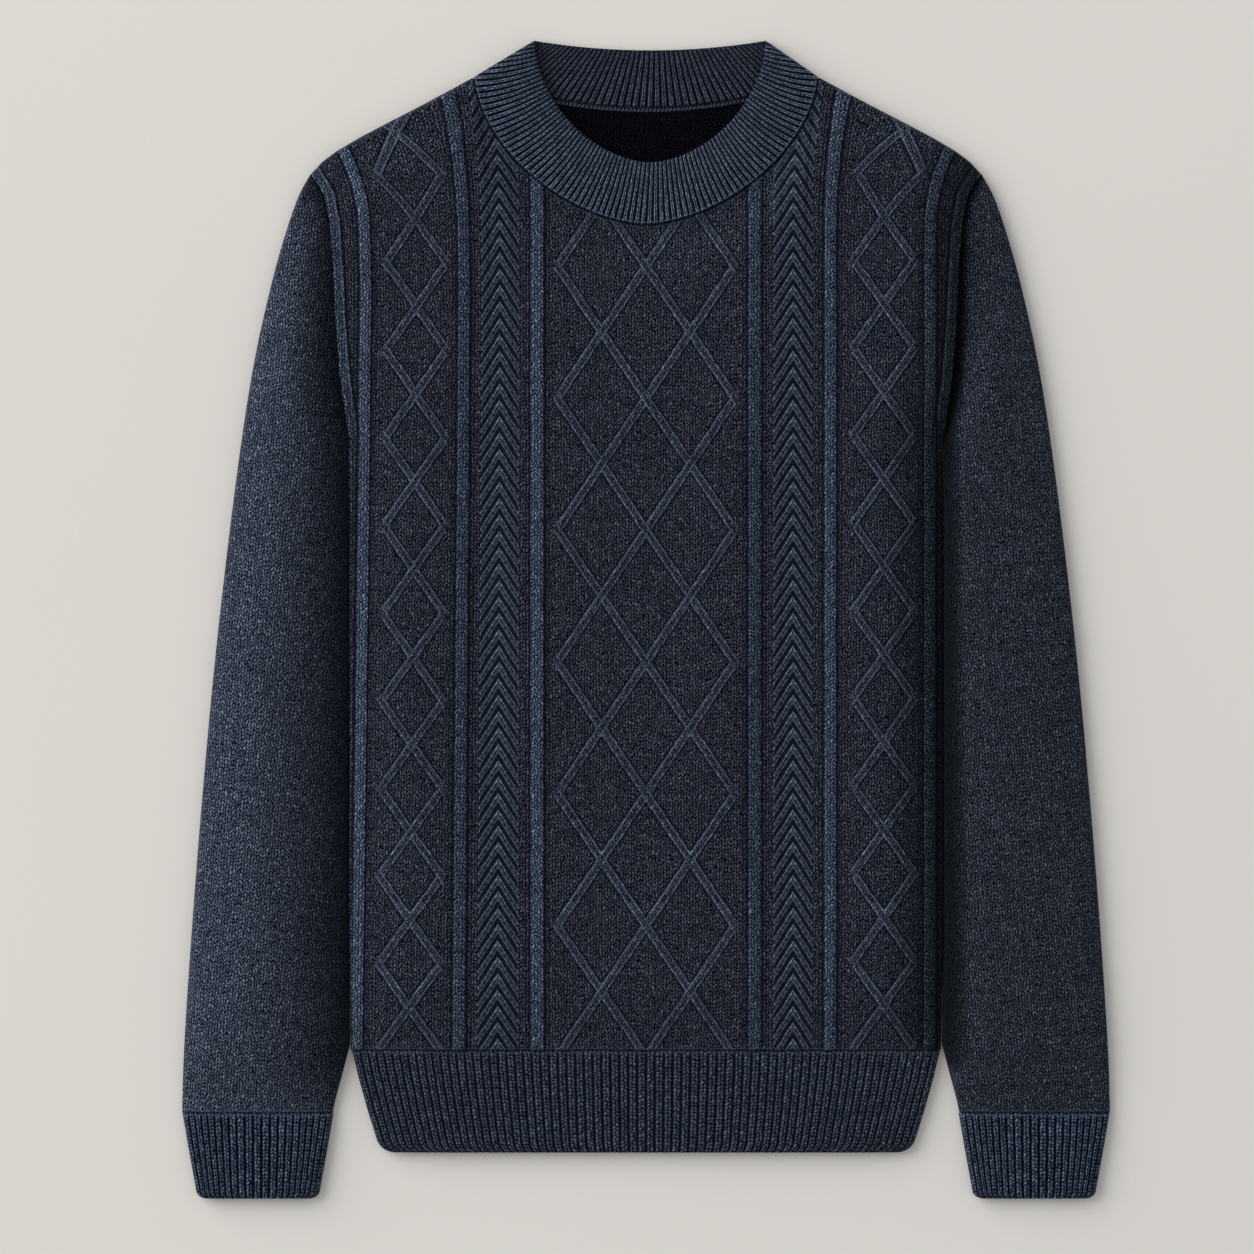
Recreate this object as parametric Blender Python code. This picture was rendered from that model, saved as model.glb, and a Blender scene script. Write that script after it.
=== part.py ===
"""A knitted pullover with raised lattices, chevrons and ribs, laid flat on its back.

Eight knitted pieces: front, back, two sleeves, neck rib, hem rib and two cuff ribs.
X runs across the garment, Y from the hem up to the neck and Z up from the surface that it
lies on. The driving sizes are real sizes in millimetres; MM turns them into metres.
The wearer's left and right are not used: "left" is the -X side.
"""

from bisect import bisect_right
from collections import namedtuple
from math import ceil, cos, hypot, pi, sin, sqrt

import bmesh
import bpy

MM = 0.001

Point = namedtuple("Point", "x y")
Vertex = namedtuple("Vertex", "along x y z")
Row = namedtuple("Row", "y half_width height")
Fold = namedtuple("Fold", "x y lean half_width half_length height")
Strand = namedtuple("Strand", "inner outer period turn_y")
Rib = namedtuple("Rib", "inner outer")

# Cloth
WALL = 3.4                  # one layer of knitting
SEAM_GAP = 0.3              # clearance between two pieces that are sewn together
BODY_HEIGHT = 8.6           # both layers of the body, with the air between them
ROLL_STEPS = (0.0, 0.15, 0.5, 1.0)      # stations over a rolled edge, in roll radii
INNER_ROLL_STEPS = (0.0, 0.4, 1.0)      # and over its inside

# Outline of the body, right half
NECK_HALF_WIDTH = 112.1     # to the high shoulder point
NECK_TOP = 353.1
NECK_DEPTH = 96.5
NECK_POWER = 1.72           # of the superellipse that the front neckline follows
BACK_NECK_DEPTH = 19.9
SHOULDER_LINE = (
    Point(112.1, 353.1), Point(144.1, 335.8), Point(167.6, 323.7), Point(185.2, 313.3),
    Point(198.2, 304.2), Point(207.3, 297.6), Point(216.5, 289.8),
)
ARMHOLE_LINE = (
    Point(216.5, 289.8), Point(208.6, 274.8), Point(205.0, 255.3), Point(203.2, 229.2),
    Point(201.6, 194.6), Point(198.9, 159.4), Point(195.0, 130.1), Point(193.6, 117.0),
)
SIDE_LINE = (Point(193.6, 117.0), Point(193.6, -215.5), Point(192.0, -280.4))
BODY_BOTTOM = -280.4
UNDERARM_BLEND = 13.0       # length over which the side's rolled edge opens at the armhole

# Neck rib
COLLAR_WALL = 3.0
COLLAR_HEIGHT = 9.6
COLLAR_TOP = 376.9
COLLAR_HALF_WIDTH = 76.0    # of the neck opening at the top
COLLAR_DEPTH = 79.5         # of the neck opening at the centre front
COLLAR_POWER = 1.8
COLLAR_BACK_DIP = 6.2
COLLAR_FRONT_RIBS = 78
COLLAR_BACK_RIBS = 50
COLLAR_ROWS = 2

# Hem rib: the rows of its outline from the seam to the rounded lower corners
HEM_ROWS = (
    Row(-280.4, 191.5, 8.6), Row(-299.0, 187.1, 8.4), Row(-319.8, 181.3, 8.2),
    Row(-338.6, 175.4, 8.0), Row(-343.9, 171.5, 7.8), Row(-346.9, 163.0, 7.4),
)
HEM_RIBS = 67

# Sleeves, right one
SLEEVE_OUTER_LINE = (
    Point(216.5, 289.8), Point(223.0, 281.3), Point(228.2, 270.9), Point(235.4, 250.0),
    Point(243.8, 220.7), Point(256.9, 162.7), Point(268.6, 81.2), Point(281.0, -25.1),
    Point(289.5, -119.0), Point(295.7, -197.2), Point(300.9, -280.7), Point(301.6, -321.1),
)
SLEEVE_INNER_LINE = (
    Point(193.6, 117.0), Point(193.6, 0.0), Point(193.6, -120.0), Point(193.6, -215.5),
    Point(192.6, -276.1), Point(197.2, -294.0), Point(202.8, -313.3), Point(204.5, -321.1),
)
SLEEVE_WALL = 3.3
SLEEVE_CREST = 10.4         # height of the soft dome along the sleeve
SLEEVE_INNER_HEIGHT = 7.4
SLEEVE_OUTER_HEIGHT = 8.4
SLEEVE_RINGS = 15
SLEEVE_BESIDE_BODY = 0.5    # the sleeve lies this far from the body's edge
ARMHOLE_REACH = 0.16        # share of the sleeve over which the armhole's curve fades out

# Cuffs: rows from the seam to the rounded lower corners, about CUFF_CENTRE
CUFF_CENTRE = 252.2
CUFF_ROWS = (
    Row(-321.1, 48.2, 8.2), Row(-344.6, 44.6, 8.2), Row(-371.0, 39.2, 8.0),
    Row(-374.9, 37.6, 7.8), Row(-376.9, 34.0, 7.4),
)
CUFF_RIBS = 19
RIB_WALL = 3.1

# Raised pattern of the front: heights above the plain stitch, and half-widths along X
STRAND_HEIGHT = 1.5
STRAND_BASE = 3.6
STRAND_TOP = 1.5
TURN_HALF_LENGTH = 2.0      # a strand runs straight down this far on each side of a turn
LATTICE_PERIOD = 85.6
LATTICE_TURN = 230.5        # a row of the wide lattice's outer corners
DIAMOND_PERIOD = 56.9
DIAMOND_TURN = 261.7        # a crossing of the small diamonds
STRANDS = (
    Strand(3.8, 26.5, LATTICE_PERIOD, LATTICE_TURN - LATTICE_PERIOD / 2),
    Strand(34.1, 58.7, LATTICE_PERIOD, LATTICE_TURN),
    Strand(149.4, 131.7, DIAMOND_PERIOD, DIAMOND_TURN - DIAMOND_PERIOD / 2),
    Strand(157.0, 174.7, DIAMOND_PERIOD, DIAMOND_TURN - DIAMOND_PERIOD / 2),
)
RIB_HEIGHT = 1.2
RIB_SHOULDER = 1.4          # width of a raised rib's sloping side
RAISED_RIBS = (Rib(67.2, 75.3), Rib(116.1, 123.9), Rib(181.3, 189.7))
CHEVRON_CENTRE = 95.5
CHEVRON_ARM = 13.0          # across X, from the point to the foot
CHEVRON_DROP = 20.5         # down Y, from the point to the foot
CHEVRON_PITCH = 10.64
CHEVRON_HEIGHT = 1.3
CHEVRON_TOP = 300.0
CHEVRON_MARGIN = 1.6        # plain stitch beside the feet
CHEVRON_LINES = (           # offset from the centre, drop and whether the line is plain
    (-CHEVRON_ARM - CHEVRON_MARGIN, CHEVRON_DROP, True), (-CHEVRON_ARM, CHEVRON_DROP, False),
    (0.0, 0.0, False), (CHEVRON_ARM, CHEVRON_DROP, False),
    (CHEVRON_ARM + CHEVRON_MARGIN, CHEVRON_DROP, True),
)

# The columns of stitches lean outwards below the shoulders, by the square of the height
# above LEAN_START; the table gives the lean per square millimetre at places across the front
LEAN_START = 254.0
LEAN_TABLE = ((65.0, 0.0), (120.0, 0.0011), (185.0, 0.0050))

# Soft troughs and ridges of the front as it lies
SOFT_FOLDS = (
    Fold(-129.0, -10.0, 0.00, 17.0, 330.0, -1.1),
    Fold(-168.0, -20.0, 0.00, 16.0, 300.0, 0.5),
    Fold(-84.0, 30.0, 0.02, 26.0, 260.0, 0.5),
    Fold(74.0, -40.0, 0.00, 15.0, 300.0, -0.9),
    Fold(146.0, 0.0, -0.02, 22.0, 290.0, 0.6),
)
FOLD_FADE = 40.0            # the folds die out over this length above the hem

RIB_RAISE = 0.8             # of the neck, hem and cuff ribs
PLAIN_ROW_STEP = 48.0       # spacing of the rows on plain stretches
PLAIN_ROWS = 13
UNDERARM_ROW = 104.0        # where the side's rolled edge is whole
TOP_SEARCH = (150.0, 400.0)         # a column's upper end lies between these heights
TOP_SEARCH_STEPS = 50
MARGIN = 2.2                # a row keeps this far from the ends of its column
NECK_STEP = 4.0             # spacing of the neckline's own vertices
EDGE_ALONG = -1000.0        # orders the stations over a rolled edge before all others
PLAIN_SHARES = (0.0, 0.12, 0.24, 0.36, 0.48, 0.58, 0.68, 0.78, 0.88, 0.95, 0.985, 1.0)
SIDE_SHARES = (0.5, 0.85, 1.0)      # lines between the last rib and the side edge
EDGE_SHARE = 0.03           # a vertex on an edge keeps this share away from the edge's ends
SHOULDER_SLANT = 1.13       # length along Y of a step across the shoulder's edge
OUTER_STEPS = tuple(step * SHOULDER_SLANT * BODY_HEIGHT / 2 for step in ROLL_STEPS[1:])
INNER_STEPS = (BODY_HEIGHT / 2 - WALL,)

COLOURS = {
    "front_knit": (0.026, 0.032, 0.044),
    "back_knit": (0.010, 0.012, 0.016),
    "sleeve_knit": (0.029, 0.035, 0.048),
    "collar_rib": (0.030, 0.039, 0.056),
    "hem_rib": (0.027, 0.034, 0.048),
    "cuff_rib": (0.026, 0.035, 0.051),
}
KNIT_ROUGHNESS = 0.92


class Path:
    """A line through points, read by the share of its length."""

    def __init__(self, points):
        self.points = list(points)
        self.lengths = [0.0]
        for first, second in zip(self.points, self.points[1:]):
            self.lengths.append(self.lengths[-1] + hypot(second.x - first.x, second.y - first.y))

    @property
    def length(self):
        return self.lengths[-1]

    def at(self, share):
        """The point at a share of the length, from 0 to 1."""
        place = min(max(share, 0.0), 1.0) * self.length
        index = min(bisect_right(self.lengths, place), len(self.points) - 1)
        first, second = self.points[index - 1], self.points[index]
        step = self.lengths[index] - self.lengths[index - 1]
        part = (place - self.lengths[index - 1]) / step
        return Point(first.x + (second.x - first.x) * part, first.y + (second.y - first.y) * part)

    def distance(self, x, y):
        """How far (x, y) lies from the line."""
        best = hypot(x - self.points[0].x, y - self.points[0].y)
        for first, second in zip(self.points, self.points[1:]):
            dx, dy = second.x - first.x, second.y - first.y
            part = ((x - first.x) * dx + (y - first.y) * dy) / (dx * dx + dy * dy)
            part = min(max(part, 0.0), 1.0)
            best = min(best, hypot(x - first.x - dx * part, y - first.y - dy * part))
        return best


def smooth_path(points, steps=6):
    """A Path that runs softly through the points (a Catmull-Rom curve)."""
    ends = [points[0], *points, points[-1]]
    dense = []
    for before, first, second, after in zip(ends, ends[1:], ends[2:], ends[3:]):
        for step in range(steps):
            t = step / steps
            weights = (
                -0.5 * t + t * t - 0.5 * t ** 3,
                1.0 - 2.5 * t * t + 1.5 * t ** 3,
                0.5 * t + 2.0 * t * t - 1.5 * t ** 3,
                -0.5 * t * t + 0.5 * t ** 3,
            )
            corners = (before, first, second, after)
            dense.append(Point(
                sum(weight * corner.x for weight, corner in zip(weights, corners)),
                sum(weight * corner.y for weight, corner in zip(weights, corners)),
            ))
    return Path(dense + [points[-1]])


def superellipse_path(half_width, top, depth, power, steps=120):
    """The front neckline's curve from -X over the centre front to +X."""
    points = []
    for step in range(steps + 1):
        angle = pi * step / steps
        across = abs(cos(angle)) ** (2.0 / power) * (-1.0 if angle < pi / 2 else 1.0)
        down = max(sin(angle), 0.0) ** (2.0 / power)
        points.append(Point(half_width * across, top - depth * down))
    return Path(points)


def dipped_path(half_width, top, dip, steps=40):
    """A shallow curve from -X to +X that dips in the middle."""
    points = []
    for step in range(steps + 1):
        across = 2.0 * step / steps - 1.0
        points.append(Point(half_width * across, top - dip * (1.0 - across * across)))
    return Path(points)


def between(value, pairs):
    """Straight-line reading of a table of (place, value) pairs, level past its ends."""
    if value <= pairs[0][0]:
        return pairs[0][1]
    for (place, low), (next_place, high) in zip(pairs, pairs[1:]):
        if value <= next_place:
            return low + (high - low) * (value - place) / (next_place - place)
    return pairs[-1][1]


def extended(value, pairs):
    """The same reading, carried on along the first or last stretch past the ends."""
    ends = pairs[:2] if value < pairs[0][0] else pairs[-2:]
    if pairs[0][0] <= value <= pairs[-1][0]:
        return between(value, pairs)
    (place, low), (next_place, high) = ends
    return low + (high - low) * (value - place) / (next_place - place)


def smoothstep(value):
    """0 below 0, 1 above 1 and soft between them."""
    value = min(max(value, 0.0), 1.0)
    return value * value * (3.0 - 2.0 * value)


def roll_share(distance, radius):
    """How far a rolled edge has risen at a distance from its outermost line, 0 to 1."""
    if distance >= radius:
        return 1.0
    return sqrt(max(0.0, 1.0 - (1.0 - max(distance, 0.0) / radius) ** 2))


# ---------------------------------------------------------------- outline of the body

SHOULDER_PAIRS = [(point.x, point.y) for point in SHOULDER_LINE]
EDGE_PAIRS = sorted({(point.y, point.x) for point in ARMHOLE_LINE + SIDE_LINE})
SHOULDER_PATH = Path(SHOULDER_LINE)
SIDE_PATH = Path(SIDE_LINE)


def edge_x(y):
    """Half-width of the body at a height: the armhole seam, then the side."""
    return extended(y, EDGE_PAIRS)


def shoulder_y(x):
    """The shoulder's rolled edge above |x|."""
    return extended(abs(x), SHOULDER_PAIRS)


def front_neck_y(x):
    """The front neckline, with half a seam gap."""
    share = min(abs(x) / NECK_HALF_WIDTH, 1.0)
    depth = NECK_DEPTH + SEAM_GAP / 2
    return NECK_TOP - depth * (1.0 - share ** NECK_POWER) ** (1.0 / NECK_POWER)


def back_neck_y(x):
    """The back neckline, with half a seam gap."""
    share = min(abs(x) / NECK_HALF_WIDTH, 1.0)
    return NECK_TOP - SEAM_GAP / 2 - BACK_NECK_DEPTH * (1.0 - share * share)


def fold_distance(x, y):
    """Distance of a point of the body from its rolled shoulder and side edges."""
    return min(SHOULDER_PATH.distance(abs(x), y), SIDE_PATH.distance(abs(x), y))


def soft_height(x, y):
    """Rise of the soft folds, fading out at the hem, the sides and the neck."""
    rise = 0.0
    for fold in SOFT_FOLDS:
        across = (x - fold.x - fold.lean * (y - fold.y)) / fold.half_width
        along = (y - fold.y) / fold.half_length
        if abs(across) < 2.0 and abs(along) < 1.0:
            rise += fold.height * cos(across * pi / 4) ** 2 * cos(along * pi / 2) ** 2
    near = min(fold_distance(x, y) - BODY_HEIGHT / 2, y - BODY_BOTTOM, front_neck_y(x) - y + MARGIN)
    return rise * smoothstep(near / FOLD_FADE)


def lean(place, y):
    """Outward lean of a column of stitches below the shoulder."""
    above = max(0.0, y - LEAN_START)
    return between(abs(place), LEAN_TABLE) * above * above


# ---------------------------------------------------------------- meshes from strips

class Body:
    """A closed mesh under construction."""

    def __init__(self):
        self.points = []
        self.faces = []

    def add_line(self, vertices):
        """Add a line of vertices and give it back as (along, index) pairs."""
        line = []
        for vertex in vertices:
            line.append((vertex.along, len(self.points)))
            self.points.append((vertex.x * MM, vertex.y * MM, vertex.z * MM))
        return line

    def join(self, first, second, shift=0.0):
        """Join two lines with triangles, in the order of their rising `along` values."""
        i = j = 0
        while i < len(first) - 1 or j < len(second) - 1:
            step_first = j == len(second) - 1
            if i < len(first) - 1 and j < len(second) - 1:
                step_first = first[i + 1][0] <= second[j + 1][0] + shift
            if step_first:
                self.faces.append((first[i][1], first[i + 1][1], second[j][1]))
                i += 1
            else:
                self.faces.append((first[i][1], second[j + 1][1], second[j][1]))
                j += 1

    def finish(self, name, material):
        """Make the object, with every face pointing out."""
        mesh = bpy.data.meshes.new(name)
        mesh.from_pydata(self.points, [], self.faces)
        mesh.materials.append(material)
        work = bmesh.new()
        work.from_mesh(mesh)
        bmesh.ops.recalc_face_normals(work, faces=work.faces)
        if work.calc_volume(signed=True) < 0.0:
            bmesh.ops.reverse_faces(work, faces=work.faces)
        work.to_mesh(mesh)
        work.free()
        mesh.shade_smooth()
        thing = bpy.data.objects.new(name, mesh)
        bpy.context.collection.objects.link(thing)
        return thing


# ---------------------------------------------------------------- body panels

def column(place_at, stations, top_y, height_at, edge_steps):
    """One line of a panel from its top edge down to the hem seam.

    place_at gives x for y, stations are the heights of its own vertices, top_y the edge
    above x, height_at the z of a point, and edge_steps the stations below a rolled edge.
    """
    low, high = TOP_SEARCH
    for _ in range(TOP_SEARCH_STEPS):
        middle = (low + high) / 2
        if middle > top_y(place_at(middle)):
            high = middle
        else:
            low = middle
    top = low
    bottom = BODY_BOTTOM + SEAM_GAP / 2
    rolled = abs(place_at(top)) > NECK_HALF_WIDTH - MARGIN
    heights = [top] + [top - step for step in edge_steps if rolled]
    edge_count = len(heights)
    lowest = heights[-1] - MARGIN / 2
    heights += [y for y in sorted(stations, reverse=True) if bottom + MARGIN < y < lowest]
    heights.append(bottom)
    line = []
    for number, y in enumerate(heights):
        x = place_at(y)
        along = EDGE_ALONG + number if number < edge_count else -y
        line.append(Vertex(along, x, y, height_at(x, y)))
    return line


def plain_stations(step=PLAIN_ROW_STEP):
    """Evenly spaced rows for plain stretches, closer at the armhole."""
    rows = [BODY_BOTTOM + step * count for count in range(1, PLAIN_ROWS + 1)]
    return rows + [point.y for point in ARMHOLE_LINE[1:]] + [UNDERARM_ROW]


def strand_place(strand, y):
    """Where a strand runs at a height: it swings between its inner and outer place."""
    swing = strand.period / 2 - TURN_HALF_LENGTH * 2
    phase = (strand.turn_y - y) % strand.period
    phase = min(phase, strand.period - phase)
    share = min(max((phase - TURN_HALF_LENGTH) / swing, 0.0), 1.0)
    return strand.outer + (strand.inner - strand.outer) * share


def strand_stations(strand):
    """The heights of a strand's turns."""
    heights = []
    turn = strand.turn_y + strand.period * ceil((NECK_TOP - strand.turn_y) / strand.period)
    while turn > BODY_BOTTOM:
        heights += [turn + TURN_HALF_LENGTH, turn - TURN_HALF_LENGTH]
        turn -= strand.period / 2
    return heights


def front_plain_z(x, y):
    """Outer surface of the front without its raised pattern."""
    top = BODY_HEIGHT + soft_height(x, y)
    middle = (BODY_HEIGHT + SEAM_GAP) / 2
    return middle + (top - middle) * roll_share(fold_distance(x, y), BODY_HEIGHT / 2)


def raised_z(raise_by):
    """Height function of a line that the pattern lifts by a constant amount."""
    def height(x, y):
        share = roll_share(fold_distance(x, y), BODY_HEIGHT / 2)
        return front_plain_z(x, y) + raise_by * share
    return height


def leaning(place):
    """A line's own place, leaning outwards below the shoulder."""
    def place_at(y):
        nominal = place(y)
        return nominal + lean(nominal, y)
    return place_at


def strand_lines(strand):
    """A raised strand's four lines: its two feet and the two edges of its top."""
    lines = []
    for offset, raise_by in ((-STRAND_BASE, 0.0), (-STRAND_TOP, STRAND_HEIGHT),
                             (STRAND_TOP, STRAND_HEIGHT), (STRAND_BASE, 0.0)):
        place_at = leaning(lambda y, offset=offset: strand_place(strand, y) + offset)
        lines.append(column(place_at, strand_stations(strand), front_top_y,
                            raised_z(raise_by), OUTER_STEPS))
    return lines


def rib_lines(rib):
    """A straight raised rib's four lines."""
    lines = []
    for x, raise_by in ((rib.inner, 0.0), (rib.inner + RIB_SHOULDER, RIB_HEIGHT),
                        (rib.outer - RIB_SHOULDER, RIB_HEIGHT), (rib.outer, 0.0)):
        lines.append(column(leaning(lambda y, x=x: x), plain_stations(), front_top_y,
                            raised_z(raise_by), OUTER_STEPS))
    return lines


def front_lines():
    """The front's lines from the centre to the right edge, each with its chevron drop."""
    groups = [(min(strand.inner, strand.outer), strand_lines(strand), (0.0,) * 4)
              for strand in STRANDS]
    groups += [(rib.inner, rib_lines(rib), (0.0,) * 4) for rib in RAISED_RIBS]
    chevrons = [chevron_line(offset, drop, plain) for offset, drop, plain in CHEVRON_LINES]
    groups.append((CHEVRON_CENTRE, chevrons, [drop for _, drop, _ in CHEVRON_LINES]))
    lines = []
    for _, group, drops in sorted(groups, key=lambda item: item[0]):
        lines += list(zip(group, drops))
    last_rib = RAISED_RIBS[-1].outer
    for line in edge_lines(front_plain_z, front_top_y, lambda y: 0.0, SIDE_SHARES,
                           leaning(lambda y: last_rib), plain_stations(), OUTER_STEPS):
        lines.append((line, 0.0))
    return lines


def front_top_y(x):
    """The front's upper edge: the neckline or the shoulder, whichever is lower."""
    if abs(x) < NECK_HALF_WIDTH:
        return front_neck_y(x)
    return shoulder_y(x)


def back_top_y(x):
    """The back's upper edge."""
    if abs(x) < NECK_HALF_WIDTH:
        return back_neck_y(x)
    return shoulder_y(x)


def chevron_stations(drop):
    """Numbered heights of the band's ridges (even) and grooves (odd) on one of its lines."""
    top = CHEVRON_TOP + CHEVRON_DROP - drop
    count = int(2 * (CHEVRON_TOP + CHEVRON_DROP - BODY_BOTTOM) / CHEVRON_PITCH) + 1
    return [(number, top - number * CHEVRON_PITCH / 2) for number in range(count)]


def chevron_line(offset, drop, plain):
    """A line of the chevron band: its vertices lie on ridges and in grooves by turns."""
    stations = chevron_stations(drop)
    ridges = {y for number, y in stations if number % 2 == 0 and not plain}

    def height_at(x, y):
        share = roll_share(fold_distance(x, y), BODY_HEIGHT / 2)
        return front_plain_z(x, y) + CHEVRON_HEIGHT * share * (y in ridges)

    place_at = leaning(lambda y: CHEVRON_CENTRE + offset)
    return column(place_at, [y for _, y in stations], front_top_y, height_at, OUTER_STEPS)


def edge_lines(height_at, top_y, inset_at, shares, inner_place, stations, steps):
    """Lines between a column near the side and the side's edge itself."""
    lines = []
    for share in shares:
        def place_at(y, share=share):
            inner = inner_place(y)
            return inner + (edge_x(y) - inset_at(y) - inner) * share
        lines.append(column(place_at, stations, top_y, height_at, steps))
    return lines


def mirrored(line, height_at):
    """The same line on the -X side, lying on the soft folds of that side."""
    other = []
    for vertex in line:
        change = height_at(-vertex.x, vertex.y) - height_at(vertex.x, vertex.y)
        other.append(vertex._replace(x=-vertex.x, z=vertex.z + change))
    return other


def edge_points(first, second, top_y, height_at):
    """Vertices of the neckline between the tops of two lines, so that it runs round."""
    if min(abs(first.x), abs(second.x)) >= NECK_HALF_WIDTH:
        return []
    count = int(hypot(second.x - first.x, second.y - first.y) / NECK_STEP)
    places = [first.x + (second.x - first.x) * step / (count + 1) for step in range(1, count + 1)]
    places += [x for x in (-NECK_HALF_WIDTH, NECK_HALF_WIDTH) if first.x < x < second.x]
    return [Vertex(-top_y(x), x, top_y(x), height_at(x, top_y(x))) for x in sorted(places)]


def hem_points(foot, point, drop, height_at):
    """Vertices of the hem seam where it cuts the arms of a chevron band.

    foot and point are the lower ends of the lines through the arms' feet and points. The
    vertices run from the foot to the point.
    """
    points = []
    for number, y in chevron_stations(0.0):
        share = (y - foot.y) / drop
        if EDGE_SHARE < share < 1.0 - EDGE_SHARE:
            x = point.x + (foot.x - point.x) * share
            lift = 0.0 if number % 2 else CHEVRON_HEIGHT
            points.append(Vertex(drop - y, x, foot.y, height_at(x, foot.y) + lift))
    return points


def lay_face(body, lines, drops, top_y, height_at):
    """Join a face's lines from side to side; gives its top, bottom and side edges back."""
    rows = [body.add_line(line) for line in lines]
    top, bottom = [rows[0][0]], [rows[0][-1]]
    for number in range(len(lines) - 1):
        first, second = rows[number], rows[number + 1]
        line, next_line = lines[number], lines[number + 1]
        drop, next_drop = drops[number], drops[number + 1]
        extra = body.add_line(edge_points(line[0], next_line[0], top_y, height_at))
        top += extra + [second[0]]
        if next_line[0].y > line[0].y:
            first = extra[::-1] + first
        else:
            second = extra + second
        if drop > next_drop:
            extra = body.add_line(hem_points(line[-1], next_line[-1], drop, height_at))
            bottom += extra
            first = first + extra
        elif next_drop > drop:
            extra = body.add_line(hem_points(next_line[-1], line[-1], next_drop, height_at))
            bottom += extra[::-1]
            second = second + extra
        bottom.append(rows[number + 1][-1])
        body.join(first, second, drop - next_drop)
    by_x = [[(body.points[index][0], index) for _, index in edge] for edge in (top, bottom)]
    return by_x + [rows[0], rows[-1]]


def make_panel(name, material, outer, inner):
    """Close a panel: its two faces and the rim between their edges."""
    body = Body()
    edges = [lay_face(body, *face) for face in (outer, inner)]
    for outer_edge, inner_edge in zip(*edges):
        body.join(outer_edge, inner_edge)
    return body.finish(name, material)


def side_inset(y):
    """The inner face ends one wall inside a rolled side edge, and at the armhole seam itself."""
    return WALL * smoothstep((ARMHOLE_LINE[-1].y + UNDERARM_BLEND - y) / UNDERARM_BLEND)


def inner_top(top_y):
    """Upper edge of a panel's inner face: one wall below the rolled shoulder."""
    slope = (SHOULDER_LINE[0].y - SHOULDER_LINE[-1].y) / (SHOULDER_LINE[-1].x - SHOULDER_LINE[0].x)
    drop = WALL * sqrt(1.0 + slope * slope)

    def top(x):
        return min(top_y(x), shoulder_y(x) - drop)
    return top


def plain_face(top_y, height_at, inset_at, steps):
    """A panel's plain face from side to side, as lines of few vertices."""
    right = edge_lines(height_at, top_y, inset_at, PLAIN_SHARES, lambda y: 0.0,
                       plain_stations(), steps)
    left = [mirrored(line, height_at) for line in reversed(right[1:])]
    return left + right, [0.0] * (len(left) + len(right)), top_y, height_at


def front_inner_z(x, y):
    """Inner face of the front."""
    middle = (BODY_HEIGHT + SEAM_GAP) / 2
    under = BODY_HEIGHT + soft_height(x, y) - WALL
    radius = BODY_HEIGHT / 2 - WALL
    return middle + (under - middle) * roll_share(fold_distance(x, y) - WALL, radius)


def back_outer_z(x, y):
    """Underside of the back: flat on the surface, rolled up at the sides and shoulders."""
    middle = (BODY_HEIGHT - SEAM_GAP) / 2
    return middle * (1.0 - roll_share(fold_distance(x, y), BODY_HEIGHT / 2))


def back_inner_z(x, y):
    """Inner face of the back."""
    middle = (BODY_HEIGHT - SEAM_GAP) / 2
    radius = BODY_HEIGHT / 2 - WALL
    return middle + (WALL - middle) * roll_share(fold_distance(x, y) - WALL, radius)


def make_front(material):
    """The front panel: raised pattern outside, plain inside."""
    right = front_lines()
    left = [(mirrored(line, front_plain_z), drop) for line, drop in reversed(right)]
    outer = left + right
    face = [line for line, _ in outer], [drop for _, drop in outer], front_top_y, front_plain_z
    return make_panel("front", material, face, plain_face(
        inner_top(front_top_y), front_inner_z, side_inset, INNER_STEPS))


def make_back(material):
    """The back panel, plain on both faces and flat below."""
    return make_panel("back", material, plain_face(
        back_top_y, back_outer_z, lambda y: 0.0, OUTER_STEPS), plain_face(
        inner_top(back_top_y), back_inner_z, side_inset, INNER_STEPS))


# ---------------------------------------------------------------- flat tubes

def tube_loop(top_at, bottom_at, length, height_at, inset, shares, under_shares, raise_at=None):
    """One loop round a flat tube: over its top from end to end, then back underneath.

    top_at and bottom_at give the plan point at a share of the way across, height_at the
    tube's height there, and inset how deep in the wall the loop lies (0 is the outside).
    raise_at lifts a vertex of the top, or with inset one of the lower layer's upper face.
    """
    start = inset / length
    reach = 1.0 - 2.0 * start
    loop = []
    ends = (top_at(start), bottom_at(start)), (top_at(1.0 - start), bottom_at(1.0 - start))
    for order, (points, share) in enumerate(zip(ends, (0.0, 1.0))):
        middle = height_at(share) / 2
        tip = Vertex(float(order), (points[0].x + points[1].x) / 2,
                     (points[0].y + points[1].y) / 2, middle)
        inside = shares if order == 0 else under_shares
        loop.append(tip)
        for number, part in enumerate(inside):
            share = start + reach * part
            height = height_at(share)
            end_height = height_at(0.0 if share < 0.5 else 1.0)
            radius = max(end_height / 2 - inset, 0.05)
            apart = min(part, 1.0 - part) * reach * length
            rise = roll_share(apart, radius)
            lift = raise_at(order, number) * rise if raise_at else 0.0
            middle = end_height / 2
            if order == 0:
                point = top_at(share)
                z = middle + (height - inset - middle) * rise + lift
                loop.append(Vertex(part, point.x, point.y, z))
            else:
                share = 1.0 - share
                point = bottom_at(share)
                middle = height_at(0.0 if share < 0.5 else 1.0) / 2
                z = middle + (inset - middle) * rise + lift
                loop.append(Vertex(1.0 + part, point.x, point.y, z))
    return loop


def end_shares(length, radius, steps=ROLL_STEPS):
    """Stations over the rolled edge at the start, as shares of the length."""
    return [step * radius / length for step in steps[1:]]


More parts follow.
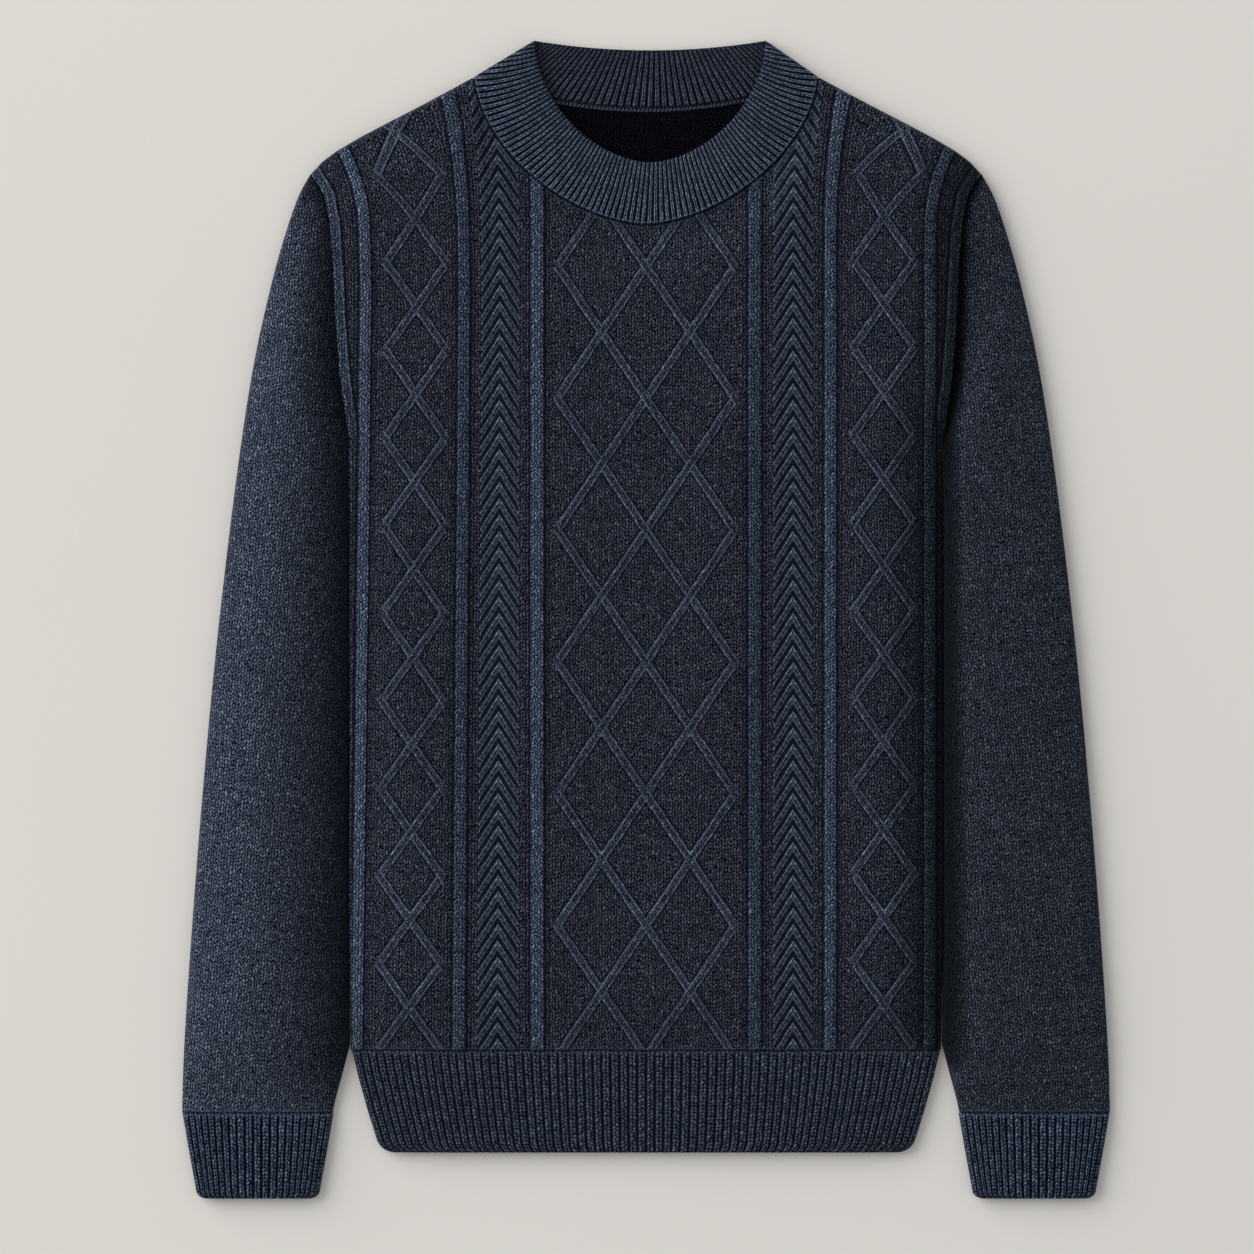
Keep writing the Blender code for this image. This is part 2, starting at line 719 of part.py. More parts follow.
def spread(length, radius, count, steps=ROLL_STEPS):
    """Stations across a face: over both rolled edges and evenly between them."""
    ends = end_shares(length, radius, steps)
    first, last = ends[-1], 1.0 - ends[-1]
    middle = [first + (last - first) * number / count for number in range(1, count)]
    return ends + middle + [1.0 - share for share in reversed(ends)]


def make_tube(name, outer_loops, inner_loops, material):
    """Close a flat tube that is open at both ends."""
    body = Body()
    faces = []
    for loops in (outer_loops, inner_loops):
        lines = []
        for loop in loops:
            line = body.add_line(loop)
            lines.append(line + [(2.0, line[0][1])])
        for first, second in zip(lines, lines[1:]):
            body.join(first, second)
        faces.append(lines)
    body.join(faces[0][0], faces[1][0])
    body.join(faces[0][-1], faces[1][-1])
    return body.finish(name, material)


def rib_raise(order, number):
    """Every other station of the top is a rib."""
    return RIB_RAISE if order == 0 and number % 2 else 0.0


def make_band(name, rows, centre, ribs, material):
    """A ribbed band all round: the hem or a cuff."""
    outer_loops, inner_loops = [], []
    for number, row in enumerate(rows):
        y = row.y - SEAM_GAP / 2 if number == 0 else row.y
        width = 2.0 * row.half_width

        def plan(share, row=row, y=y, width=width):
            return Point(centre - row.half_width + width * share, y)

        def height(share, row=row):
            return row.height
        radius = row.height / 2
        outer_loops.append(tube_loop(
            plan, plan, width, height, 0.0, spread(width, radius, 2 * ribs),
            spread(width, radius, 6), rib_raise))
        inner_width = width - 2.0 * RIB_WALL
        shares = spread(inner_width, radius - RIB_WALL, 8, INNER_ROLL_STEPS)
        inner_loops.append(tube_loop(plan, plan, width, height, RIB_WALL, shares, shares))
    return make_tube(name, outer_loops, inner_loops, material)


def collar_loops(part):
    """Outer and inner loop of the neck rib at a share of its width, 0 at the seam."""
    half_width = NECK_HALF_WIDTH - SEAM_GAP
    top = NECK_TOP + SEAM_GAP
    seam_front = superellipse_path(half_width, top, NECK_DEPTH + SEAM_GAP / 2, NECK_POWER)
    seam_back = dipped_path(half_width, top, BACK_NECK_DEPTH)
    free_front = superellipse_path(COLLAR_HALF_WIDTH, COLLAR_TOP, COLLAR_DEPTH, COLLAR_POWER)
    free_back = dipped_path(COLLAR_HALF_WIDTH, COLLAR_TOP, COLLAR_BACK_DIP)

    def blend(first, second):
        def at(share):
            start, end = first.at(share), second.at(share)
            return Point(start.x + (end.x - start.x) * part, start.y + (end.y - start.y) * part)
        return at

    front = blend(seam_front, free_front)
    back = blend(seam_back, free_back)
    length = seam_back.length + (free_back.length - seam_back.length) * part

    def height(_):
        return COLLAR_HEIGHT

    def back_raise(order, number):
        return RIB_RAISE if order == 1 and number % 2 else 0.0

    radius = COLLAR_HEIGHT / 2
    outer = tube_loop(front, back, length, height, 0.0, spread(length, radius, 2 * COLLAR_FRONT_RIBS),
                      spread(length, radius, 8), rib_raise)
    inner_length = length - 2.0 * COLLAR_WALL
    inner_radius = radius - COLLAR_WALL
    inner = tube_loop(front, back, length, height, COLLAR_WALL,
                      spread(inner_length, inner_radius, 24, INNER_ROLL_STEPS),
                      spread(inner_length, inner_radius, 2 * COLLAR_BACK_RIBS, INNER_ROLL_STEPS),
                      back_raise)
    return outer, inner


def make_collar(material):
    """The neck rib: its front half lies above its back half."""
    loops = [collar_loops(row / COLLAR_ROWS) for row in range(COLLAR_ROWS + 1)]
    return make_tube("collar", [outer for outer, _ in loops], [inner for _, inner in loops], material)


# ---------------------------------------------------------------- sleeves

def sleeve_lines():
    """The armhole, outer and inner lines of the right sleeve, clear of the body."""
    armhole = Path([Point(point.x + SEAM_GAP, point.y) for point in reversed(ARMHOLE_LINE)])
    outer = [Point(point.x, point.y) for point in SLEEVE_OUTER_LINE]
    outer[0] = armhole.points[-1]
    outer[-1] = Point(outer[-1].x, outer[-1].y + SEAM_GAP / 2)
    inner = [Point(point.x + SLEEVE_BESIDE_BODY, point.y) for point in SLEEVE_INNER_LINE]
    inner[0] = armhole.points[0]
    inner[-1] = Point(SLEEVE_INNER_LINE[-1].x, outer[-1].y)
    return armhole, smooth_path(outer), Path(inner)


def seam_shares(armhole, length, inset, steps):
    """Stations across a sleeve: over its rolled edges and at the armhole seam's corners."""
    inner_length = length - 2.0 * inset
    ends = end_shares(inner_length, BODY_HEIGHT / 2 - inset, steps)
    corners = []
    for place in armhole.lengths[1:-1]:
        share = (place / armhole.length * length - inset) / inner_length
        if 1.2 * ends[-1] < share < 1.0 - 1.2 * ends[-1]:
            corners.append(share)
        else:
            corners.append(0.5 * (share > 0.5) + 0.25)
    return sorted(ends + corners + [1.0 - share for share in ends])


def make_sleeve(name, side, material):
    """A sleeve: a flat tube whose rings turn from the armhole seam to the cuff."""
    armhole, outer_line, inner_line = sleeve_lines()
    outer_loops, inner_loops = [], []
    for number in range(SLEEVE_RINGS + 1):
        along = number / SLEEVE_RINGS
        start, end = inner_line.at(along), outer_line.at(along)
        bend = (1.0 - along) ** 3

        def plan(share, start=start, end=end, bend=bend):
            seam = armhole.at(share)
            first, last = armhole.points[0], armhole.points[-1]
            x = start.x + (end.x - start.x) * share
            y = start.y + (end.y - start.y) * share
            x += bend * (seam.x - first.x - (last.x - first.x) * share)
            y += bend * (seam.y - first.y - (last.y - first.y) * share)
            return Point(side * x, y)

        settle = smoothstep(along / ARMHOLE_REACH)
        level = smoothstep((1.0 - along) / ARMHOLE_REACH)

        def height(share, settle=settle, level=level):
            ends = SLEEVE_INNER_HEIGHT + (SLEEVE_OUTER_HEIGHT - SLEEVE_INNER_HEIGHT) * share
            ends = BODY_HEIGHT + (ends - BODY_HEIGHT) * settle
            dome = (SLEEVE_CREST - (SLEEVE_INNER_HEIGHT + SLEEVE_OUTER_HEIGHT) / 2) * settle * level
            return ends + dome * sin(pi * share)

        length = hypot(end.x - start.x, end.y - start.y)
        for loops, inset, steps in ((outer_loops, 0.0, ROLL_STEPS),
                                    (inner_loops, SLEEVE_WALL, INNER_ROLL_STEPS)):
            shares = seam_shares(armhole, length, inset, steps)
            loops.append(tube_loop(plan, plan, length, height, inset, shares, shares))
    return make_tube(name, outer_loops, inner_loops, material)


# ---------------------------------------------------------------- the garment

def make_material(name):
    """A knitted finish of one colour."""
    material = bpy.data.materials.new(name)
    material.use_nodes = True
    shader = material.node_tree.nodes["Principled BSDF"]
    shader.inputs["Base Color"].default_value = (*COLOURS[name], 1.0)
    shader.inputs["Roughness"].default_value = KNIT_ROUGHNESS
    shader.inputs["Metallic"].default_value = 0.0
    return material


def clear_scene():
    """Start from an empty scene."""
    for thing in list(bpy.data.objects):
        bpy.data.objects.remove(thing, do_unlink=True)


def main():
    """Make the eight pieces and hold them together under one empty."""
    clear_scene()
    finishes = {name: make_material(name) for name in COLOURS}
    pieces = [
        make_back(finishes["back_knit"]),
        make_front(finishes["front_knit"]),
        make_collar(finishes["collar_rib"]),
        make_band("hem_rib", HEM_ROWS, 0.0, HEM_RIBS, finishes["hem_rib"]),
    ]
    for side, label in ((-1.0, "left"), (1.0, "right")):
        pieces.append(make_sleeve(f"sleeve_{label}", side, finishes["sleeve_knit"]))
        pieces.append(make_band(f"cuff_{label}", CUFF_ROWS, side * CUFF_CENTRE, CUFF_RIBS,
                                finishes["cuff_rib"]))
    garment = bpy.data.objects.new("pullover", None)
    bpy.context.collection.objects.link(garment)
    for piece in pieces:
        piece.parent = garment


if __name__ == "__main__":
    main()
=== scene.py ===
"""Looks of a knitted pullover that lies flat on its back on a pale floor.

The front carries raised lattices, chevron bands and upright ribs over a plain ground. Each
piece is modelled in its own sizes, in millimetres, on the form of its solid. Every surface
carries a map that counts wales (columns of stitches) and courses (rows of stitches), so that
the stitches follow the knitting. "Left" is the -X side.
"""

import logging
from dataclasses import dataclass
from enum import Enum
from math import cos, pi, radians, sin
from typing import Callable, Sequence

import bmesh
import bpy
import numpy as np
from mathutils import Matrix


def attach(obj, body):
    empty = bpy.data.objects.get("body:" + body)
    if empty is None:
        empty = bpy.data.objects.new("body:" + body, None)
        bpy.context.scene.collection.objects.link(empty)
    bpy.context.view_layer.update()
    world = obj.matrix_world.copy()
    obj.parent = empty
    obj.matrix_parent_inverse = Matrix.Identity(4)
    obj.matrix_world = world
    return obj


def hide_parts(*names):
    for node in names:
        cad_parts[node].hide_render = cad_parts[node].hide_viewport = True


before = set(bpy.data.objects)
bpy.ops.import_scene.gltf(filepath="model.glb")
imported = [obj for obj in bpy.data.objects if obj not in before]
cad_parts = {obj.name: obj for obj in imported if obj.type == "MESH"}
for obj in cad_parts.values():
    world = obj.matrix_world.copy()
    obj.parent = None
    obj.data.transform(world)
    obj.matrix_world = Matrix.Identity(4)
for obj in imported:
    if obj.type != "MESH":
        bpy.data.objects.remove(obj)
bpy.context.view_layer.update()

LOG = logging.getLogger("pullover")

MM = 0.001
BODY = "root"
MAP = "stitches"  # wales across and courses along
EDGE_MAP = "edges"  # millimetres from the side edge and from the seam

Colour = tuple[float, float, float]
Point = tuple[float, float]
Numbers = np.ndarray
Socket = bpy.types.NodeSocket


class Side(Enum):
    """The two sides of the garment as it lies."""

    LEFT = -1.0
    RIGHT = 1.0

    @property
    def label(self) -> str:
        """The side's name in lower case."""
        return self.name.lower()


# ---------------------------------------------------------------- lines and profiles

def read_table(values: Numbers, table: Sequence[Point]) -> Numbers:
    """Read a table of (place, result) pairs, carried on straight past its ends.

    Args:
        values: Places to read at.
        table: Pairs in rising order of place.

    Returns:
        The results at those places.
    """
    places, results = np.array(table, float).T
    first = results[0] + (values - places[0]) * (results[1] - results[0]) / (places[1] - places[0])
    last = results[-1] + (values - places[-1]) * (results[-1] - results[-2]) / (
        places[-1] - places[-2])
    inside = np.interp(values, places, results)
    return np.where(values < places[0], first, np.where(values > places[-1], last, inside))


def smoothstep(values: Numbers) -> Numbers:
    """0 below 0, 1 above 1 and soft between them."""
    values = np.clip(values, 0.0, 1.0)
    return values * values * (3.0 - 2.0 * values)


def roll(distance: Numbers, radius: float) -> Numbers:
    """How far a rolled edge has risen at a distance from its outermost line, 0 to 1."""
    return np.sqrt(np.clip(1.0 - (1.0 - np.clip(distance / radius, 0.0, 1.0)) ** 2, 0.0, 1.0))


class Line:
    """A line through points, read by the share of its length."""

    def __init__(self, points: Sequence[Point], rounds: int = 0) -> None:
        """Keep the points, rounded off by cutting their corners.

        Args:
            points: Corners of the line.
            rounds: How many times the corners are cut.
        """
        corners = np.array(points, float)
        for _ in range(rounds):
            quarter = corners[:-1] * 0.75 + corners[1:] * 0.25
            three = corners[:-1] * 0.25 + corners[1:] * 0.75
            inner = np.stack([quarter, three], 1).reshape(-1, 2)
            corners = np.vstack([corners[:1], inner, corners[-1:]])
        self.points = corners
        steps = np.hypot(*np.diff(corners, axis=0).T)
        self.places = np.concatenate([[0.0], np.cumsum(steps)])

    @property
    def length(self) -> float:
        """Length of the line."""
        return float(self.places[-1])

    def at(self, shares: Numbers) -> tuple[Numbers, Numbers]:
        """X and Y at shares of the length."""
        wanted = np.asarray(shares) * self.length
        return (np.interp(wanted, self.places, self.points[:, 0]),
                np.interp(wanted, self.places, self.points[:, 1]))

    def distance(self, x: Numbers, y: Numbers) -> Numbers:
        """How far the points (x, y) lie from the line.

        Args:
            x: Places across the garment.
            y: Places up the garment.

        Returns:
            The distances.
        """
        best = np.full(np.shape(x), np.inf)
        for (ax, ay), (bx, by) in zip(self.points, self.points[1:]):
            dx, dy = bx - ax, by - ay
            part = np.clip(((x - ax) * dx + (y - ay) * dy) / (dx * dx + dy * dy), 0.0, 1.0)
            best = np.minimum(best, np.hypot(x - ax - dx * part, y - ay - dy * part))
        return best


def superellipse(half_width: float, top: float, depth: float, power: float) -> Line:
    """The front neckline's curve from -X over the centre front to +X.

    Args:
        half_width: Half the width between its ends.
        top: Height of both ends.
        depth: Drop of its middle below them.
        power: Fullness; 2 makes an ellipse.

    Returns:
        The curve.
    """
    angles = np.linspace(0.0, pi, 241)
    across = -np.sign(np.cos(angles)) * np.abs(np.cos(angles)) ** (2.0 / power)
    down = np.clip(np.sin(angles), 0.0, 1.0) ** (2.0 / power)
    return Line(np.stack([half_width * across, top - depth * down], 1))


def dipped(half_width: float, top: float, dip: float) -> Line:
    """A shallow curve from -X to +X that dips in the middle."""
    across = np.linspace(-1.0, 1.0, 81)
    return Line(np.stack([half_width * across, top - dip * (1.0 - across ** 2)], 1))


# ---------------------------------------------------------------- cloth meshes

def add_object(name: str, data: bpy.types.ID) -> bpy.types.Object:
    """Make an object of a mesh, a lamp or a camera and put it in the scene.

    Args:
        name: The object's name.
        data: What it shows.

    Returns:
        The object.
    """
    made = bpy.data.objects.new(name, data)
    bpy.context.scene.collection.objects.link(made)
    return made


class Cloth:
    """A closed mesh of cloth under way."""

    def __init__(self) -> None:
        """Start with nothing."""
        self.points: list[Numbers] = []
        self.maps: list[Numbers] = []
        self.faces: list[Numbers] = []
        self.finishes: list[Numbers] = []
        self.count = 0

    def add_points(self, x: Numbers, y: Numbers, z: Numbers, wales: Numbers,
                   courses: Numbers, edge: Numbers, seam: Numbers) -> Numbers:
        """Add points in millimetres with their places on both maps.

        Args:
            x: Places to the right.
            y: Places towards the neck.
            z: Heights above the floor.
            wales: Wales counted across.
            courses: Courses counted along.
            edge: Distances from the side edge.
            seam: Distances from the nearest seam.

        Returns:
            The points' numbers, in the shape of x.
        """
        x, y, z, wales, courses, edge, seam = np.broadcast_arrays(
            x, y, z, wales, courses, edge, seam)
        self.points.append(np.stack([x, y, z], -1).reshape(-1, 3) * MM)
        self.maps.append(np.stack([wales, courses, edge, seam], -1).reshape(-1, 4))
        numbers = self.count + np.arange(x.size).reshape(x.shape)
        self.count += x.size
        return numbers

    def add_triangles(self, corners: Numbers, finish: int) -> None:
        """Add triangles, each a row of three point numbers."""
        self.faces.append(corners)
        self.finishes.append(np.full(len(corners), finish))

    def fill(self, grid: Numbers, finish: int = 0) -> None:
        """Fill a grid of point numbers with triangles along the flatter diagonals.

        Args:
            grid: Point numbers in rows and columns.
            finish: Number of the material.
        """
        heights = np.concatenate(self.points)[:, 2]
        a, b, c, d = (part.ravel() for part in (
            grid[:-1, :-1], grid[:-1, 1:], grid[1:, 1:], grid[1:, :-1]))
        straight = np.abs(heights[a] - heights[c]) <= np.abs(heights[b] - heights[d])
        first = np.where(straight[:, None], np.stack([a, b, c], 1), np.stack([a, b, d], 1))
        second = np.where(straight[:, None], np.stack([a, c, d], 1), np.stack([b, c, d], 1))
        self.add_triangles(np.concatenate([first, second]), finish)

    def join(self, first: Numbers, first_keys: Numbers, second: Numbers, second_keys: Numbers,
             finish: int = 0) -> None:
        """Join two edges with triangles, in the order of their rising keys.

        Args:
            first: Point numbers along one edge.
            first_keys: Their rising places along it.
            second: Point numbers along the other edge.
            second_keys: Their rising places along it.
            finish: Number of the material.
        """
        corners = []
        i = j = 0
        while i < len(first) - 1 or j < len(second) - 1:
            step_first = j == len(second) - 1 or (
                i < len(first) - 1 and first_keys[i + 1] <= second_keys[j + 1])
            if step_first:
                corners.append((first[i], first[i + 1], second[j]))
                i += 1
            else:
                corners.append((first[i], second[j + 1], second[j]))
                j += 1
        self.add_triangles(np.array(corners), finish)

    def finish(self, name: str, materials: Sequence[bpy.types.Material]) -> bpy.types.Object:
        """Weld the edges and make the object, with every face pointing out.

        Args:
            name: The object's name.
            materials: Its materials, by finish number.

        Returns:
            The object.
        """
        mesh = bpy.data.meshes.new(name)
        mesh.from_pydata(np.concatenate(self.points).tolist(), [],
                         np.concatenate(self.faces).tolist())
        for material in materials:
            mesh.materials.append(material)
        mesh.polygons.foreach_set("material_index", np.concatenate(self.finishes).astype(np.int32))
        corners = np.zeros(len(mesh.loops), np.int32)
        mesh.loops.foreach_get("vertex_index", corners)
        places = np.concatenate(self.maps)[corners].astype(np.float32)
        for label, pair in ((MAP, places[:, :2]), (EDGE_MAP, places[:, 2:])):
            mesh.uv_layers.new(name=label).data.foreach_set("uv", pair.ravel())
        work = bmesh.new()
        work.from_mesh(mesh)
        bmesh.ops.remove_doubles(work, verts=work.verts, dist=2e-7)
        bmesh.ops.dissolve_degenerate(work, edges=work.edges, dist=1e-8)
        bmesh.ops.recalc_face_normals(work, faces=work.faces)
        if work.calc_volume(signed=True) < 0.0:
            bmesh.ops.reverse_faces(work, faces=work.faces)
        work.to_mesh(mesh)
        work.free()
        mesh.shade_smooth()
        return add_object(name, mesh)


# ---------------------------------------------------------------- shader nodes

def step(operation: str) -> Callable[..., "Term"]:
    """Make a method of Term that takes one step of arithmetic.

    Args:
        operation: Blender's name for the step.

    Returns:
        The method.
    """
    def work(self: "Term", *others: "Value") -> "Term":
        """Take the step, with another value where it needs one."""
        return self.graph.math(operation, self, *others)
    return work


class Term:
    """A value of a node tree that takes part in arithmetic as a number does."""

    def __init__(self, graph: "Graph", socket: Socket) -> None:
        """Stand for a socket of a graph's tree."""
        self.graph = graph
        self.socket = socket

    __add__ = __radd__ = step("ADD")
    __mul__ = __rmul__ = step("MULTIPLY")
    __sub__ = step("SUBTRACT")
    __truediv__ = step("DIVIDE")
    __pow__ = step("POWER")
    __gt__ = step("GREATER_THAN")
    __lt__ = step("LESS_THAN")
    __abs__ = step("ABSOLUTE")
    floor = step("FLOOR")
    fract = step("FRACT")

    def __rsub__(self, other: float) -> "Term":
        """What it leaves of a number."""
        return self.graph.math("SUBTRACT", other, self)

    def off_whole(self) -> "Term":
        """How far it lies from the nearest whole number, with its sign."""
        return (self + 0.5).fract() - 0.5

    def off_middle(self) -> "Term":
        """How far it lies from the middle between two whole numbers."""
        return abs(self.fract() - 0.5)


Value = float | Sequence[float] | Socket | Term


class Graph:
    """Short ways to lay out a node tree."""

    def __init__(self, tree: bpy.types.NodeTree) -> None:
        """Work on a tree."""
        self.tree = tree

    def put(self, socket: Socket, value: Value) -> None:
        """Link a socket, or set its own value.

        Args:
            socket: The socket that takes the value.
            value: What it is linked to, or a plain value.
        """
        if isinstance(value, Term):
            self.tree.links.new(value.socket, socket)
        else:
            socket.default_value = value

    def node(self, kind: str, inputs: dict[str | int, Value], **settings: object) -> bpy.types.Node:
        """Add a node.

        Args:
            kind: The node's type without its "ShaderNode".
            inputs: Values by the input's name or number.
            **settings: The node's own settings.

        Returns:
            The node.
        """
        made = self.tree.nodes.new("ShaderNode" + kind)
        for name, value in settings.items():
            setattr(made, name, value)
        for name, value in inputs.items():
            self.put(made.inputs[name], value)
        return made

    def term(self, output: str | int, kind: str, inputs: dict[str | int, Value],
             **settings: object) -> Term:
        """Add a node and read one of its outputs."""
        return Term(self, self.node(kind, inputs, **settings).outputs[output])

    def math(self, operation: str, *values: Value, clamp: bool = False) -> Term:
        """One step of arithmetic."""
        return self.term(0, "Math", dict(enumerate(values)), operation=operation, use_clamp=clamp)

    def smooth(self, low: Value, high: Value, value: Value) -> Term:
        """0 at low, 1 at high and soft between them."""
        return self.term("Result", "MapRange", {"Value": value, "From Min": low, "From Max": high},
                         interpolation_type="SMOOTHSTEP")

    def fade(self, low: Value, high: Value, value: Value) -> Term:
        """1 at low, 0 at high and soft between them."""
        return 1.0 - self.smooth(low, high, value)

    def window(self, value: Value, rise: Value, full: Value, fall: Value, end: Value) -> Term:
        """1 from full to fall, 0 before rise and past end, and soft between them."""
        return self.smooth(rise, full, value) * self.fade(fall, end, value)

    def larger(self, first: Value, second: Value) -> Term:
        """The larger of two numbers."""
        return self.math("MAXIMUM", first, second)

    def smaller(self, first: Value, second: Value) -> Term:
        """The smaller of two numbers."""
        return self.math("MINIMUM", first, second)

    def blend(self, factor: Value, first: Value, second: Value) -> Term:
        """A number between two numbers."""
        return self.term(0, "Mix", {0: factor, 2: first, 3: second}, data_type="FLOAT")

    def blend_colour(self, factor: Value, first: Value, second: Value,
                     blend_type: str = "MIX") -> Term:
        """A colour between two colours."""
        return self.term(2, "Mix", {0: factor, 6: first, 7: second}, data_type="RGBA",
                         blend_type=blend_type)

    def join(self, x: Value, y: Value, z: Value = 0.0) -> Term:
        """A vector of three numbers."""
        return self.term(0, "CombineXYZ", {0: x, 1: y, 2: z})

    def split(self, vector: Term) -> tuple[Term, Term]:
        """A vector's first two numbers."""
        made = self.node("SeparateXYZ", {0: vector})
        return Term(self, made.outputs[0]), Term(self, made.outputs[1])

    def noise(self, vector: Term, scale: float, detail: float = 2.0) -> Term:
        """Soft noise about one half."""
        return self.term("Fac", "TexNoise", {"Vector": vector, "Scale": scale, "Detail": detail})

    def noise_pair(self, vector: Term, scale: float) -> tuple[Term, Term]:
        """Two soft noises that are free of each other.

        Args:
            vector: Where the noises are read.
            scale: How fine they are.

        Returns:
            Both noises, each about one half.
        """
        colour = self.term("Color", "TexNoise", {"Vector": vector, "Scale": scale, "Detail": 2.0})
        made = self.node("SeparateColor", {0: colour})
        return Term(self, made.outputs[0]), Term(self, made.outputs[1])


Terms = dict[str, Term]


@dataclass(frozen=True)
class Plug:
    """A named socket of a node group."""

    name: str
    value: float | tuple[float, ...] = 0.0

    @property
    def kind(self) -> str:
        """Blender's name for the socket's type."""
        return "NodeSocketColor" if isinstance(self.value, tuple) else "NodeSocketFloat"


BLACK = (0.0, 0.0, 0.0, 1.0)


class Effect:
    """A shader node group with named inputs and outputs, built once."""

    name = "effect"
    takes: tuple[Plug, ...] = ()
    gives: tuple[Plug, ...] = ()

    def __init__(self) -> None:
        """Build the group."""
        self.tree = bpy.data.node_groups.new(self.name, "ShaderNodeTree")
        for plug in self.takes:
            socket = self.tree.interface.new_socket(name=plug.name, in_out="INPUT",
                                                    socket_type=plug.kind)
            socket.default_value = plug.value
        for plug in self.gives:
            self.tree.interface.new_socket(name=plug.name, in_out="OUTPUT",
                                           socket_type=plug.kind)
        graph = Graph(self.tree)
        source = self.tree.nodes.new("NodeGroupInput").outputs
        results = self.build(graph, {plug.name: Term(graph, source[plug.name])
                                     for plug in self.takes})
        sink = self.tree.nodes.new("NodeGroupOutput")
        for name, value in results.items():
            graph.put(sink.inputs[name], value)

    def build(self, graph: Graph, given: Terms) -> Terms:
        """Lay out the group's nodes.

        Args:
            graph: The group's tree.
            given: The group's inputs by name.

        Returns:
            The group's outputs by name.
        """
        raise NotImplementedError

    def place(self, graph: Graph, inputs: dict[str, Value]) -> Terms:
        """Put the group in a tree.

        Args:
            graph: The tree that takes the group.
            inputs: Values of the group's inputs by name.

        Returns:
            The group's outputs by name.
        """
        made = graph.tree.nodes.new("ShaderNodeGroup")
        made.node_tree = self.tree
        for name, value in inputs.items():
            graph.put(made.inputs[name], value)
        return {plug.name: Term(graph, made.outputs[plug.name]) for plug in self.gives}


class StitchEffect(Effect):
    """Knit stitches: slanted legs in pairs, each with a chance value of its own."""

    name = "knit_stitch"
    takes = (Plug("Wales"), Plug("Courses"), Plug("Slant", 0.75), Plug("Wander", 0.4),
             Plug("Unrest", 0.35), Plug("Gap", 1.0))
    gives = (Plug("Relief"), Plug("Chance"), Plug("Fuzz"))
    wander_scale = 0.85
    wander_along = 2.2  # a stitch strays this much more along its wale than across it
    side_power, side_depth = 2.2, 0.9  # how round a leg is across
    end_power = 1.7
    fuzz_scale = 3.4

    def build(self, graph: Graph, given: Terms) -> Terms:
        """Lay out legs that rise outwards from the middle of each wale.

        Args:
            graph: The group's tree.
            given: The place on the stitch map and how lively the stitches are.

        Returns:
            The legs' relief, a chance value for each leg and the fuzz of the fibres.
        """
        stray_x, stray_y = graph.noise_pair(graph.join(given["Wales"], given["Courses"]),
                                            self.wander_scale)
        wales = given["Wales"] + (stray_x - 0.5) * given["Wander"]
        courses = given["Courses"] + (stray_y - 0.5) * (given["Wander"] * self.wander_along)
        legs = wales * 2.0
        leg = legs.floor()
        loose = graph.term("Value", "TexWhiteNoise", {"W": leg}, noise_dimensions="1D")
        courses = courses - (wales.off_middle() * 2.0 * given["Slant"] + loose * given["Unrest"])
        body = 1.0 - (legs.off_middle() * 2.0) ** self.side_power * self.side_depth
        ends = 1.0 - (courses.off_middle() * 2.0) ** self.end_power * given["Gap"]
        return {
            "Relief": graph.math("MULTIPLY", body, ends, clamp=True),
            "Chance": graph.term("Value", "TexWhiteNoise", {
                "Vector": graph.join(leg, courses.floor())}, noise_dimensions="2D"),
            "Fuzz": graph.noise(graph.join(wales * 2.0, courses), self.fuzz_scale),
        }


class YarnEffect(Effect):
    """Colour of a heather yarn: dark and light fibres spun together."""

    name = "heather_yarn"
    takes = (Plug("Wales"), Plug("Courses"), Plug("Relief"), Plug("Chance"), Plug("Fuzz"),
             Plug("Warmth"), Plug("Streak"), Plug("Dark", BLACK), Plug("Middle", BLACK),
             Plug("Light", BLACK))
    gives = (Plug("Colour", BLACK), Plug("Roughness"), Plug("Height"))
    cloud_scale, cloud_depth = 0.16, 0.3  # broad patches of tone
    row_length, row_scale = 0.07, 0.45  # streaks along the rows
    fuzz_tone, fuzz_height = 0.9, 0.3
    raised_part = (0.25, 0.85)  # relief from which a leg shows its middle fibres; below it the dark colour fills the gaps, partly dark fibres and partly painted shade
    fleck_part = (0.1, 1.0)  # tone from which it shows its light fibres
    warm_part = (0.66, 0.9)  # chance value from which these are warm
    least_fleck = 0.4
    warm_tint = (1.2, 1.0, 0.8, 1.0)
    rough_dark, rough_light = 0.97, 0.85

    def build(self, graph: Graph, given: Terms) -> Terms:
        """Let the legs differ in tone, with broad cloudy patches over them.

        Args:
            graph: The group's tree.
            given: The place on the stitch map, the stitches and the yarn's colours.

        Returns:
            Colour, roughness and height.
        """
        wales, courses = given["Wales"], given["Courses"]
        clouds = graph.noise(graph.join(wales, courses), self.cloud_scale, 3.0)
        rows = graph.noise(graph.join(wales * self.row_length, courses), self.row_scale)
        tone = given["Chance"] + (clouds - 0.5) * self.cloud_depth
        tone = tone + (rows - 0.5) * given["Streak"] + (given["Fuzz"] - 0.5) * self.fuzz_tone
        raised = graph.smooth(*self.raised_part, given["Relief"])
        fleck = graph.blend(graph.smooth(*self.fleck_part, tone), self.least_fleck, 1.0) * raised
        warm = graph.smooth(*self.warm_part, given["Chance"]) * given["Warmth"]
        light = graph.blend_colour(warm, given["Light"], self.warm_tint, "MULTIPLY")
        # low parts between the legs take the dark colour: partly the yarn's dark fibres, partly
        # painted shade
        base = graph.blend_colour(raised, given["Dark"], given["Middle"])
        return {
            "Colour": graph.blend_colour(fleck, base, light),
            "Roughness": graph.blend(fleck, self.rough_dark, self.rough_light),
            "Height": given["Relief"] + given["Fuzz"] * self.fuzz_height,
        }


